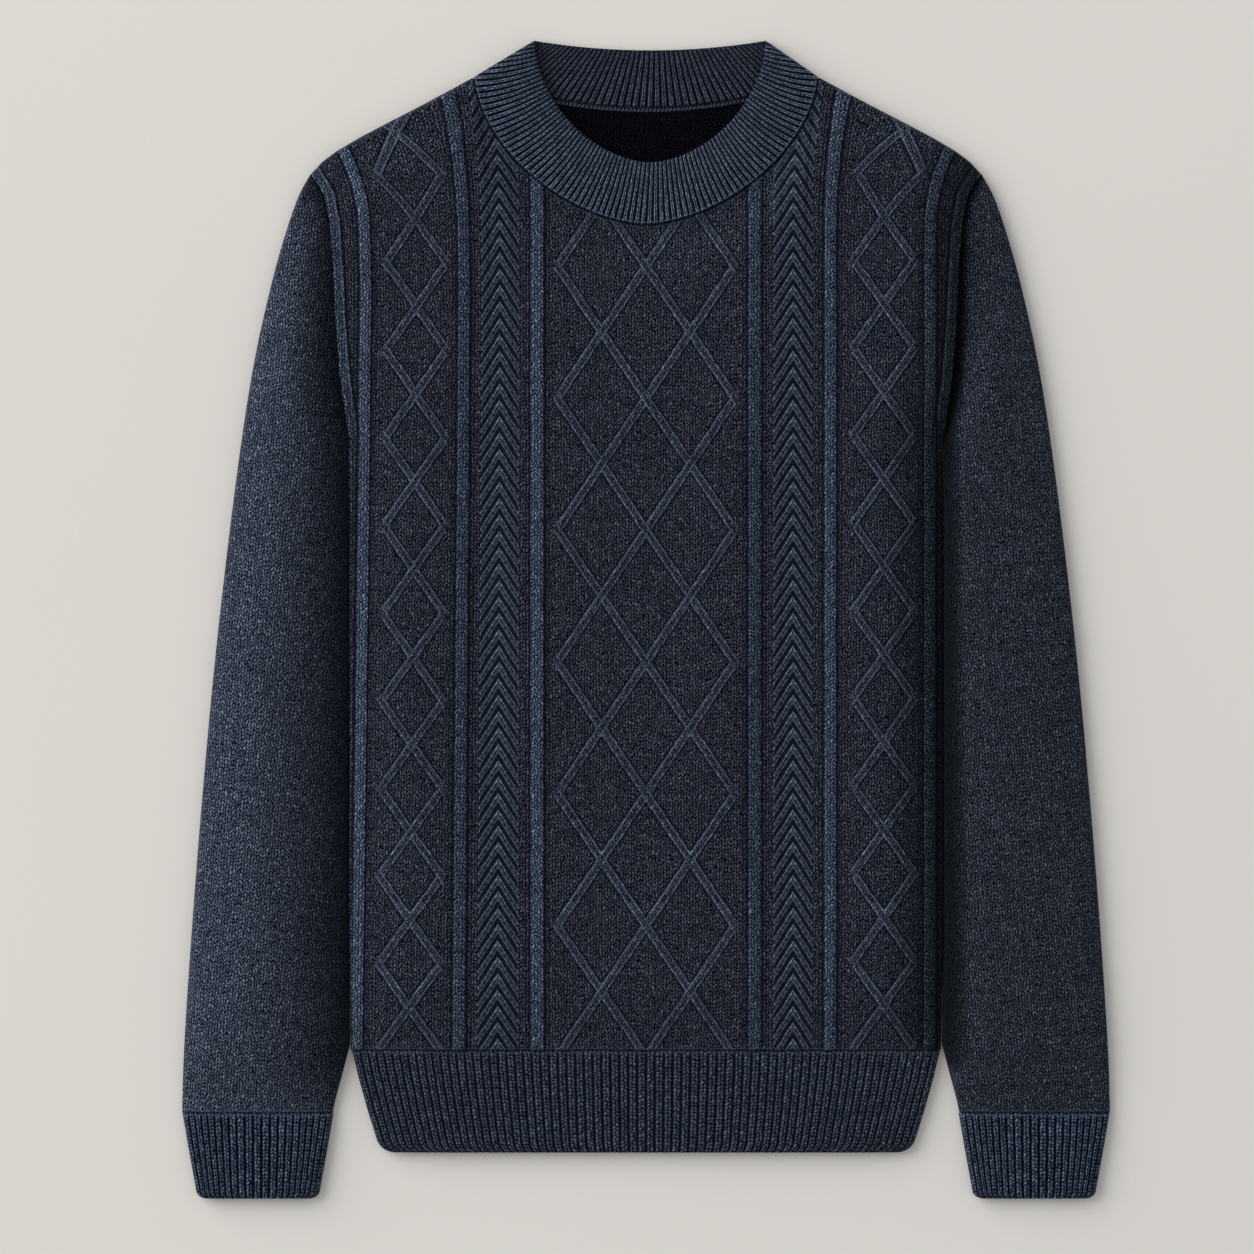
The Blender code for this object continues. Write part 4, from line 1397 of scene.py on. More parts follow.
@dataclass(frozen=True)
class FrontFinish(Finish):
    """The front's finish: plain ground with lighter, bluer raised lines."""

    raised: Yarn = SLATE
    gutter: float = 0.85
    gutter_relief: float = 0.8
    chevron_gutter: float = 1.0
    chevron_share: float = 0.62
    chevron_rim: float = 0.9
    chevron_course: float = 2.3  # length of a stitch along a chevron's arm
    line_share: float = 0.2  # how far the crossing lines take on the raised yarn
    band_share: float = 0.6  # the same of the band along the armhole
    rim: float = 0.95
    rim_spread: Point = (0.35, 1.3)  # light of the dullest and the brightest rim stitch
    rim_hollow: float = 0.15  # light that is left between two rim stitches
    waver: float = 1.4  # how far the raised lines stray, in millimetres
    waver_scale: float = 0.11
    line_start: float = 0.4  # mask from which the stitches follow a line
    band_edge: Point = (-0.3, 0.3)  # soft edge of the armhole's band
    band_rim: tuple[float, ...] = (-1.7, -1.2, -0.5, 0.0)  # from the band's edge
    band_hollow: tuple[float, ...] = (0.0, 0.4, 1.2, 2.4)
    border: float = 2.2  # width of the plain border beside the seam
    border_edge: Point = (-0.4, 0.2)

    def add_lines(self, effects: Effects, raised: Raised, place: Term, y: Term) -> None:
        """Add the lattice and the narrow diamonds.

        Args:
            effects: The shared node groups.
            raised: The forms so far.
            place: Millimetres from the centre line.
            y: Millimetres up the garment.
        """
        graph = raised.graph
        for lines in (PATTERN.lattice, PATTERN.left_diamonds, PATTERN.right_diamonds):
            crossed = effects.crossed_lines.place(
                graph, lines.inputs(place * lines.side - lines.centre, y))
            raised.wales = graph.blend(crossed["Mask"] > self.line_start, raised.wales,
                                       crossed["Offset"] / lines.half_width + 0.5)
            raised.add(crossed["Mask"] * self.line_share, crossed["Rim"], crossed["Gutter"])

    def add_chevrons(self, effects: Effects, raised: Raised, out: Term, y: Term) -> None:
        """Add the two bands of arrowheads.

        Args:
            effects: The shared node groups.
            raised: The forms so far.
            out: Millimetres from the centre line, on either side.
            y: Millimetres up the garment.
        """
        graph, chevrons = raised.graph, PATTERN.chevrons
        across = out - chevrons.centre
        band = effects.chevron.place(graph, {
            "Across": across, "Height": y - chevrons.start, "Arm": chevrons.arm,
            "Steepness": chevrons.steepness, "Pitch": chevrons.pitch, "Share": chevrons.share})
        on = band["Band"] > 0.5
        raised.wales = graph.blend(on, raised.wales, band["Offset"] * 0.5 + 0.5)
        raised.courses = graph.blend(on, raised.courses,
                                     abs(across) * (self.chevron_course / GAUGE.course))
        raised.add(band["Mask"] * self.chevron_share, band["Rim"] * self.chevron_rim,
                   (band["Band"] - band["Mask"]) * self.chevron_gutter)

    def add_ribs(self, effects: Effects, raised: Raised, place: Term) -> None:
        """Add the upright ribs, each made lighter or darker by painted light and shade.

        Args:
            effects: The shared node groups.
            raised: The forms so far.
            place: Millimetres from the centre line.
        """
        graph = raised.graph
        right = place > 0.0
        for rib in PATTERN.ribs:
            upright = effects.rib.place(graph, {
                "Across": abs(place) - rib.centre, "Half Width": rib.half_width,
                "Gutter Width": rib.gutter_width})
            # painted light and shade for this rib, on the left or the right
            own = graph.blend(right, *(tone - 1.0 for tone in rib.tones))
            raised.tone = raised.tone + upright["Mask"] * own
            raised.add(upright["Mask"], gutter=upright["Gutter"])

    def add_edges(self, raised: Raised, edge: Term, y: Term) -> None:
        """Add the band along the armhole and the border of the panel.

        Args:
            raised: The forms so far.
            edge: Millimetres from the side edge.
            y: Millimetres up the garment.
        """
        graph, width = raised.graph, PATTERN.armhole_band
        above = graph.smooth(PATTERN.band_start, PATTERN.band_full, y)
        along = above * graph.fade(*(width + place for place in self.band_edge), edge)
        line = graph.window(edge, *(width + place for place in self.band_rim))
        beside = graph.window(edge, *(width + place for place in self.band_hollow))
        raised.add(along * self.band_share, line * along, beside * above)
        border = graph.fade(*(self.border + place for place in self.border_edge), edge)
        raised.add(border)
        raised.gutter = raised.gutter * (1.0 - border)

    def pattern(self, graph: Graph, effects: Effects, places: Places) -> Terms:
        """Turn the stitches to follow whichever raised form they belong to.

        Args:
            graph: The material's tree.
            effects: The shared node groups.
            places: The piece's maps.

        Returns:
            Colour, roughness and height.
        """
        place = places.wales * GAUGE.wale
        y = places.courses * GAUGE.course + OUTLINE.bottom
        stray = graph.noise(graph.join(place, y), self.waver_scale)
        place = place + (stray - 0.5) * self.waver
        raised = Raised(graph, places.wales, places.courses)
        self.add_lines(effects, raised, place, y)
        self.add_chevrons(effects, raised, abs(place), y)
        self.add_ribs(effects, raised, place)
        self.add_edges(raised, places.edge, y)
        stitch = self.stitches(graph, effects, raised.wales, raised.courses)
        ground = self.spin(graph, effects, places, stitch, self.yarn)
        strand = self.spin(graph, effects, places, stitch, self.raised)["Colour"]
        # painted light and shade on the ribs, multiplied into the raised yarn
        tone = graph.join(raised.tone, raised.tone, raised.tone)
        colour = graph.blend_colour(raised.mask, ground["Colour"],
                                    graph.blend_colour(1.0, strand, tone, "MULTIPLY"))
        shine = raised.rim * graph.blend(
            stitch["Chance"], *(self.rim * share for share in self.rim_spread))
        shine = shine * graph.blend(stitch["Relief"], self.rim_hollow, 1.0)
        colour = graph.blend_colour(shine, colour, (*self.raised.light, 1.0))
        # painted shade: the hollows beside the raised forms are darkened towards the dark yarn
        colour = graph.blend_colour(raised.gutter * self.gutter, colour, (*self.yarn.dark, 1.0))
        return {**ground, "Colour": colour,
                "Height": ground["Height"] - raised.gutter * self.gutter_relief}


# ---------------------------------------------------------------- the pieces

def hold(piece: bpy.types.Object, node: str) -> bpy.types.Object:
    """Let a piece ride on the garment and stand for its solid, which is hidden.

    Args:
        piece: The dressed piece.
        node: The solid that it stands for.

    Returns:
        The piece.
    """
    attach(piece, BODY)
    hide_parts(node)
    LOG.info("%s: %d faces", piece.name, len(piece.data.polygons))
    return piece


@dataclass
class Panel:
    """A flat panel of the body."""

    outline: Outline = OUTLINE
    search: Point = (150.0, 400.0)
    halvings: int = 50  # of the search for the upper edge
    roll_share: float = 1.13  # reach of the rolled upper edge, in half thicknesses
    roll_rows: tuple[float, ...] = (0.5, 0.15, 0.0)  # rows on it, in shares of its reach
    split_y: float = 190.0  # the rows run level below this height
    crowding: float = 1.25  # how far plain columns crowd towards the sides

    def columns(self, top: Callable[[Numbers], Numbers], places: Numbers, shares: Numbers,
                sides: Numbers, inset: Callable[[Numbers], Numbers], rows: int,
                upper_rows: int) -> tuple[Numbers, Numbers, Numbers]:
        """Work out a grid of points that fills the panel.

        Args:
            top: Upper edge above x.
            places: Each column's own place across, without its side.
            shares: How far each column is moved from its place to the panel's edge.
            sides: -1 or 1 for each column.
            inset: How far the face ends inside the side edge at a height.
            rows: Level rows below split_y.
            upper_rows: Rows between split_y and the upper edge.

        Returns:
            X, Y and the place on the knitting, each as rows of columns from the hem up.
        """
        outline = self.outline

        def across(y: Numbers) -> Numbers:
            """X of every column at a height."""
            own = places + outline.lean(places, y, sides)
            return own + (outline.edge_x(y) - inset(y) - own) * shares

        low = np.full(places.shape, self.search[0])
        high = np.full(places.shape, self.search[1])
        for _ in range(self.halvings):
            middle = (low + high) / 2
            above = middle > top(across(middle))
            high = np.where(above, middle, high)
            low = np.where(above, low, middle)
        bottom = outline.bottom + outline.seam_gap / 2
        roll_reach = outline.height / 2 * self.roll_share
        level = np.linspace(bottom, self.split_y, rows + 1)[:, None] + 0.0 * places
        steps = np.linspace(0.0, 1.0, upper_rows + 1)[1:, None]
        upper = self.split_y + (low - roll_reach - self.split_y) * steps
        edge = low - roll_reach * np.array(self.roll_rows)[:, None]
        y = np.concatenate([level, upper, edge])
        x = across(y)
        return x * sides, y, (x - outline.lean(places, y, sides)) * sides

    def lay(self, cloth: Cloth, x: Numbers, y: Numbers, place: Numbers, z: Numbers,
            finish: int) -> Numbers:
        """Add a face and give back its point numbers.

        Args:
            cloth: The mesh under way.
            x: Places across the garment.
            y: Places up the garment.
            place: Places on the knitting.
            z: Heights above the floor.
            finish: Number of the material.

        Returns:
            The points' numbers, rows by columns.
        """
        outline = self.outline
        above = y - outline.bottom
        grid = cloth.add_points(x, y, z, place / GAUGE.wale, above / GAUGE.course,
                                outline.side_distance(x, y),
                                np.minimum(self.top_distance(x, y), above))
        cloth.fill(grid, finish)
        return grid

    def top_distance(self, x: Numbers, y: Numbers) -> Numbers:
        """Distance from the panel's neckline and shoulder seam."""
        return np.minimum(self.neckline().distance(x, y),
                          self.outline.distance(self.outline.shoulder, x, y))

    def neckline(self) -> Line:
        """The panel's neckline."""
        outline = self.outline
        return dipped(outline.neck_half_width, outline.neck_top, outline.back_neck_depth)

    def close(self, cloth: Cloth, outer: tuple[Numbers, ...], inner: tuple[Numbers, ...],
              finish: int) -> None:
        """Join the rims of two faces, each given as (numbers, x, y).

        Args:
            cloth: The mesh under way.
            outer: The outer face's point numbers, x and y.
            inner: The same of the inner face.
            finish: Number of the material.
        """
        (a, ax, ay), (b, bx, by) = outer, inner
        for row in (0, -1):
            cloth.join(a[row], ax[row], b[row], bx[row], finish)
        for column in (0, -1):
            cloth.join(a[:, column], ay[:, column], b[:, column], by[:, column], finish)

    def plain_columns(self, count: int) -> tuple[Numbers, Numbers, Numbers]:
        """Places, shares and sides of evenly spread columns.

        Args:
            count: Columns on each side of the middle.

        Returns:
            Places, shares and sides.
        """
        shares = np.linspace(-1.0, 1.0, 2 * count + 1)
        shares = np.sign(shares) * (1.0 - (1.0 - np.abs(shares)) ** self.crowding)
        return np.zeros(shares.shape), np.abs(shares), np.where(shares < 0, -1.0, 1.0)


@dataclass
class Front(Panel):
    """The front, with the raised pattern knitted in."""

    pattern: RaisedPattern = PATTERN
    steps: tuple[float, ...] = (1.245, 1.35, 1.54)  # between columns, before each rib
    rib_step: float = 1.3
    rib_margin: float = 0.3
    edge_shares: tuple[float, ...] = (0.14, 0.28, 0.42, 0.55, 0.67, 0.78, 0.88, 0.95, 0.985, 1.0)
    rows: tuple[int, int] = (221, 60)  # below and above split_y
    inner_columns: int = 16  # a side
    inner_rows: tuple[int, int] = (24, 12)

    def right_places(self) -> Numbers:
        """Places of the columns of the right half, from the centre line outwards.

        Returns:
            The places.
        """
        middle = self.pattern.chevrons.centre
        stops = [0.0]
        spacing = []
        for rib, step in zip(self.pattern.ribs, self.steps):
            inner, outer = rib.centre - rib.half_width, rib.centre + rib.half_width
            stops += [inner - self.rib_margin, outer + self.rib_margin]
            spacing += [step, self.rib_step]
        places = [np.array([0.0])]
        for start, stop, step in zip(stops, stops[1:], spacing):
            count = max(1, round((stop - start) / step))
            places.append(np.linspace(start, stop, count + 1)[1:])
        joined = np.concatenate(places)
        if middle not in joined:
            joined[np.argmin(np.abs(joined - middle))] = middle
        return joined

    def neckline(self) -> Line:
        """The panel's neckline."""
        outline = self.outline
        return superellipse(outline.neck_half_width, outline.neck_top, outline.neck_depth,
                            outline.neck_power)

    def build(self, materials: Sequence[bpy.types.Material]) -> bpy.types.Object:
        """Make the panel: raised pattern outside, plain inside.

        Args:
            materials: The piece's materials.

        Returns:
            The front.
        """
        outline = self.outline
        right = self.right_places()
        places = np.concatenate([right, np.full(len(self.edge_shares), right[-1])])
        shares = np.concatenate([np.zeros(len(right)), self.edge_shares])
        mirror = slice(None, 0, -1)
        all_places = np.concatenate([places[mirror], places])
        all_shares = np.concatenate([shares[mirror], shares])
        sides = np.concatenate([-np.ones(len(places) - 1), np.ones(len(places))])
        cloth = Cloth()
        x, y, place = self.columns(outline.front_top, all_places, all_shares, sides,
                                   lambda _: 0.0, *self.rows)
        rise = self.pattern.rise(place, y, outline.side_distance(x, y))
        rise = rise * roll(outline.fold_distance(x, y), outline.height / 2)
        grid = self.lay(cloth, x, y, place, outline.face_z(x, y, True, False) + rise, 0)
        ix, iy, inner_place = self.columns(
            outline.inner_top(outline.front_top), *self.plain_columns(self.inner_columns),
            outline.inset, *self.inner_rows)
        inner = self.lay(cloth, ix, iy, inner_place, outline.face_z(ix, iy, True, True), 0)
        self.close(cloth, (grid, x, y), (inner, ix, iy), 0)
        return hold(cloth.finish("front_cloth", materials), "front")


@dataclass
class Back(Panel):
    """The back, flat on the floor; its inside, which shows in the neck opening, is near-black
    painted shade.
    """

    side_columns: int = 24  # a side
    rows: tuple[int, int] = (40, 24)  # below and above split_y

    def build(self, materials: Sequence[bpy.types.Material]) -> bpy.types.Object:
        """Make the panel: the second material is that of its inside, near-black painted shade.

        Args:
            materials: The piece's materials.

        Returns:
            The back.
        """
        outline = self.outline
        cloth = Cloth()
        columns = self.plain_columns(self.side_columns)
        x, y, place = self.columns(outline.back_top, *columns, lambda _: 0.0, *self.rows)
        outer = self.lay(cloth, x, y, place, outline.face_z(x, y, False, False), 0)
        ix, iy, inner_place = self.columns(
            outline.inner_top(outline.back_top), *columns, outline.inset, *self.rows)
        inner = self.lay(cloth, ix, iy, inner_place, outline.face_z(ix, iy, False, True), 1)
        self.close(cloth, (outer, x, y), (inner, ix, iy), 0)
        return hold(cloth.finish("back_cloth", materials), "back")


@dataclass(frozen=True)
class RibLayout:
    """Where ribs run round a flat tube: they crowd towards its two sides."""

    ribs: float
    crowding: float = 0.0  # at the seam
    more_crowding: float = 0.0  # added by the free edge
    margin: float = 0.0  # share of the ribs that the sides cut off at the seam

    def count(self, rows: Numbers, share: Numbers) -> Numbers:
        """Ribs counted from the left at shares of the band's depth and width.

        Args:
            rows: Shares of the way from the seam.
            share: Shares of the way across.

        Returns:
            The ribs counted.
        """
        crowding = self.crowding + self.more_crowding * rows
        place = share + crowding * np.sin(2.0 * pi * share) / (2.0 * pi)
        cut = self.margin * (1.0 - rows)
        return self.ribs * (cut + (1.0 - 2.0 * cut) * place)


@dataclass(frozen=True)
class RibProfile:
    """Cross-section of ribbing: round ribs with narrow gutters."""

    layout: RibLayout
    rise: float = 1.1
    roundness: float = 0.75
    fade_rows: float = 0.0  # share of the rows over which the ribs grow from the seam
    sink: float = 0.3  # depth of the gutters, as a share of the rise

    def __call__(self, rows: Numbers, share: Numbers) -> Numbers:
        """Height above the gutters.

        Args:
            rows: Shares of the way from the seam.
            share: Shares of the way across.

        Returns:
            The heights.
        """
        wave = np.abs(np.sin(pi * self.layout.count(rows, share))) ** self.roundness
        grown = smoothstep(rows / self.fade_rows) if self.fade_rows else 1.0
        return self.rise * (wave * grown - self.sink)


@dataclass
class Layer:
    """One face of a flat tube: its stations across, its ribs and what these add."""

    shares: Numbers
    layout: RibLayout = RibLayout(40.0)
    rise: RibProfile | None = None
    finish: int = 0


Plan = Callable[[Numbers, Numbers], tuple[Numbers, Numbers]]


@dataclass
class FlatTube:
    """A tube of cloth that lies flat: an upper and a lower layer, open at both ends."""

    upper_plan: Plan
    lower_plan: Plan
    height: Callable[[Numbers, Numbers], Numbers]
    wall: float
    rows: Numbers  # shares of the depth
    length: Numbers  # width of the tube at each row
    courses: Numbers  # the stitch map's rows
    both_ends: bool = False  # whether both ends are sewn

    def face(self, cloth: Cloth, layer: Layer, lower: bool, inside: bool) -> Numbers:
        """Add one of the tube's four faces.

        Args:
            cloth: The mesh under way.
            layer: The face's stations and relief.
            lower: Whether it belongs to the layer on the floor.
            inside: Whether it faces into the tube.

        Returns:
            The face's point numbers, rows by stations.
        """
        rows = self.rows[:, None]
        length = self.length[:, None]
        inset = self.wall if inside else 0.0
        start = inset / length
        share = start + (1.0 - 2.0 * start) * layer.shares[None, :]
        apart = np.minimum(layer.shares, 1.0 - layer.shares)[None, :] * (length - 2.0 * inset)
        end_height = self.height(rows, np.where(share < 0.5, 0.0, 1.0))
        middle = end_height / 2
        rolled = roll(apart, np.maximum(middle - inset, 0.05))
        plan = self.lower_plan if lower else self.upper_plan
        x, y = plan(rows, share)
        over = self.upper_plan(rows, share)
        under = self.lower_plan(rows, share)
        level = inset if lower else self.height(rows, share) - inset
        z = middle + (level - middle) * rolled
        if layer.rise is not None:
            z = z + layer.rise(rows, share) * rolled
        tip = np.minimum(layer.shares, 1.0 - layer.shares)[None, :] <= 0.0
        x = np.where(tip, (over[0] + under[0]) / 2, x)
        y = np.where(tip, (over[1] + under[1]) / 2, y)
        seam = np.hypot(x - x[:1], y - y[:1])
        if self.both_ends:
            seam = np.minimum(seam, np.hypot(x - x[-1:], y - y[-1:]))
        grid = cloth.add_points(x, y, z, layer.layout.count(rows, share),
                                self.courses[:, None], apart, seam)
        cloth.fill(grid, layer.finish)
        return grid

    def build(self, cloth: Cloth, outer_upper: Layer, outer_lower: Layer, inner_upper: Layer,
              inner_lower: Layer) -> None:
        """Add all four faces and close the two ends.

        Args:
            cloth: The mesh under way.
            outer_upper: Outside of the upper layer.
            outer_lower: Outside of the lower layer.
            inner_upper: Inside of the upper layer.
            inner_lower: Inside of the lower layer.
        """
        for lower, outer, inner in ((False, outer_upper, inner_upper),
                                    (True, outer_lower, inner_lower)):
            first = self.face(cloth, outer, lower, False)
            second = self.face(cloth, inner, lower, True)
            for row in (0, -1):
                cloth.join(first[row], outer.shares, second[row], inner.shares)


def even_shares(count: int) -> Numbers:
    """Evenly spread stations."""
    return np.linspace(0.0, 1.0, count + 1)


def edged_shares(count: int, edge: float) -> Numbers:
    """Stations that crowd near both ends, where the edge is rolled.

    Args:
        count: Stations between the rolled ends.
        edge: Share of the width that a rolled end takes.

    Returns:
        The stations from 0 to 1.
    """
    ends = edge * np.array([0.0, 0.04, 0.15, 0.32, 0.6])
    middle = np.linspace(edge, 1.0 - edge, count + 1)
    return np.concatenate([ends, middle, 1.0 - ends[::-1]])


@dataclass
class RibBand:
    """A ribbed band all round: the hem or a cuff."""

    name: str
    slot: str
    rows: tuple[Point, ...]  # height in the picture and half-width, from the seam down
    layout: RibLayout
    corner: float  # radius of the two lower corners
    side_reach: float  # the band thins towards its sides over this distance
    side_drop: float
    centre: float = 0.0
    thickness: float = 8.4
    wall: float = 2.4
    steps_per_rib: int = 8
    row_step: float = 2.6
    course: float = 2.3
    edge_round: float = 2.4  # the lower edge is rounded over this depth
    edge_height: float = 0.74  # share of the thickness that is left at the edge
    wall_share: float = 0.9  # share of the body's wall that the stretched rib keeps
    fade_rows: float = 0.14
    hidden_across: int = 24  # stations across the faces that don't show

    def thickness_at(self, across: Numbers, half: Numbers) -> Numbers:
        """Thickness of both layers at distances from the band's middle line."""
        share = np.clip((half - np.abs(across)) / self.side_reach, 0.0, 1.0)
        return self.thickness - self.side_drop * (1.0 - share) ** 2

    def build(self, materials: Sequence[bpy.types.Material]) -> bpy.types.Object:
        """Make the band from the seam down.

        Args:
            materials: The piece's materials.

        Returns:
            The band.
        """
        top, bottom = self.rows[0][0] - OUTLINE.seam_gap / 2, self.rows[-1][0]
        count = round((top - bottom - self.corner) / self.row_step)
        straight = np.linspace(top, bottom + self.corner, count + 1)
        bend = bottom + self.corner * (1.0 - np.sin(np.linspace(0.0, pi / 2, 9)[1:]))
        y_rows = np.concatenate([straight, bend])
        half = read_table(-y_rows, [(-y, width) for y, width in self.rows])
        above = y_rows - bottom
        half = half - self.corner * (1.0 - roll(above, self.corner))
        shares = (top - y_rows) / (top - bottom)
        rounded = self.edge_height + (1.0 - self.edge_height) * roll(above, self.edge_round)

        def plan(rows: Numbers, share: Numbers) -> tuple[Numbers, Numbers]:
            """The band's place on the floor."""
            return (self.centre + half[:, None] * (2.0 * share - 1.0),
                    y_rows[:, None] + 0.0 * share)

        def height(rows: Numbers, share: Numbers) -> Numbers:
            """The band's thickness, both layers."""
            across = half[:, None] * (2.0 * share - 1.0)
            return self.thickness_at(across, half[:, None]) * rounded[:, None]

        tube = FlatTube(plan, plan, height, self.wall * self.wall_share, shares, 2.0 * half,
                        (top - y_rows) / self.course)
        cloth = Cloth()
        fine = even_shares(round(self.layout.ribs) * self.steps_per_rib)
        coarse = even_shares(self.hidden_across)
        tube.build(cloth,
                   Layer(fine, self.layout, RibProfile(self.layout, fade_rows=self.fade_rows)),
                   Layer(coarse, self.layout), Layer(coarse), Layer(coarse))
        return hold(cloth.finish(f"{self.name}_cloth", materials), self.name)


@dataclass
class NeckRib:
    """The neck rib: its front half lies above its back half."""

    outline: Outline = OUTLINE
    wall: float = 3.0
    height: float = 9.6
    top: float = 376.9
    half_width: float = 75.4
    shift: float = 2.6  # the free edge lies this far to the right
    depth: float = 79.5
    power: float = 1.8
    back_dip: float = 6.2
    front_ribs: RibLayout = RibLayout(90.0, margin=0.07)
    back_ribs: RibLayout = RibLayout(50.0, margin=0.03)
    steps_per_rib: int = 8
    rows: int = 24
    crown: float = 1.0
    edge_round: float = 0.12  # share of the band over which its free edge is rounded
    edge_height: float = 0.84  # share of the thickness that is left at the edge
    hidden_across: int = 60  # stations round the faces that don't show
    course: float = 2.2
    reach: float = 30.0  # depth of the band at the centre front

    def build(self, materials: Sequence[bpy.types.Material]) -> bpy.types.Object:
        """Make the band from the neckline to its free edge.

        Args:
            materials: The piece's materials.

        Returns:
            The neck rib.
        """
        outline = self.outline
        half_width = outline.neck_half_width - outline.seam_gap
        top = outline.neck_top + outline.seam_gap
        seam_front = superellipse(half_width, top, outline.neck_depth + outline.seam_gap / 2,
                                  outline.neck_power)
        seam_back = dipped(half_width, top, outline.back_neck_depth)
        free_front = superellipse(self.half_width, self.top, self.depth, self.power)
        free_back = dipped(self.half_width, self.top, self.back_dip)

        def between(first: Line, second: Line) -> Plan:
            """The plan between the seam and the free edge.

            Args:
                first: The seam.
                second: The free edge.

            Returns:
                The plan.
            """
            def plan(rows: Numbers, share: Numbers) -> tuple[Numbers, Numbers]:
                """X and Y at shares of the way round."""
                start, end = first.at(share), second.at(share)
                return (start[0] + (end[0] + self.shift - start[0]) * rows,
                        start[1] + (end[1] - start[1]) * rows)
            return plan

        def height(rows: Numbers, share: Numbers) -> Numbers:
            """Thickness of the band, highest along its middle."""
            rounded = self.edge_height + (1.0 - self.edge_height) * roll(1.0 - rows,
                                                                         self.edge_round)
            return (self.height + self.crown * np.sin(pi * rows) + 0.0 * share) * rounded

        ends = np.sin(np.linspace(0.0, pi / 2, 5)[1:]) * self.edge_round
        stations = np.concatenate([
            np.linspace(0.0, 1.0 - self.edge_round, self.rows + 1),
            1.0 - self.edge_round + ends])
        length = seam_back.length + (free_back.length - seam_back.length) * stations
        tube = FlatTube(between(seam_front, free_front), between(seam_back, free_back), height,
                        self.wall, stations, length, stations * self.reach / self.course)
        cloth = Cloth()
        front = even_shares(round(self.front_ribs.ribs) * self.steps_per_rib)
        back = even_shares(round(self.back_ribs.ribs) * self.steps_per_rib)
        coarse = even_shares(self.hidden_across)
        tube.build(cloth, Layer(front, self.front_ribs, RibProfile(self.front_ribs)),
                   Layer(coarse, self.back_ribs), Layer(coarse, self.front_ribs),
                   Layer(back, self.back_ribs, RibProfile(self.back_ribs), 1))
        return hold(cloth.finish("collar_cloth", materials), "collar")


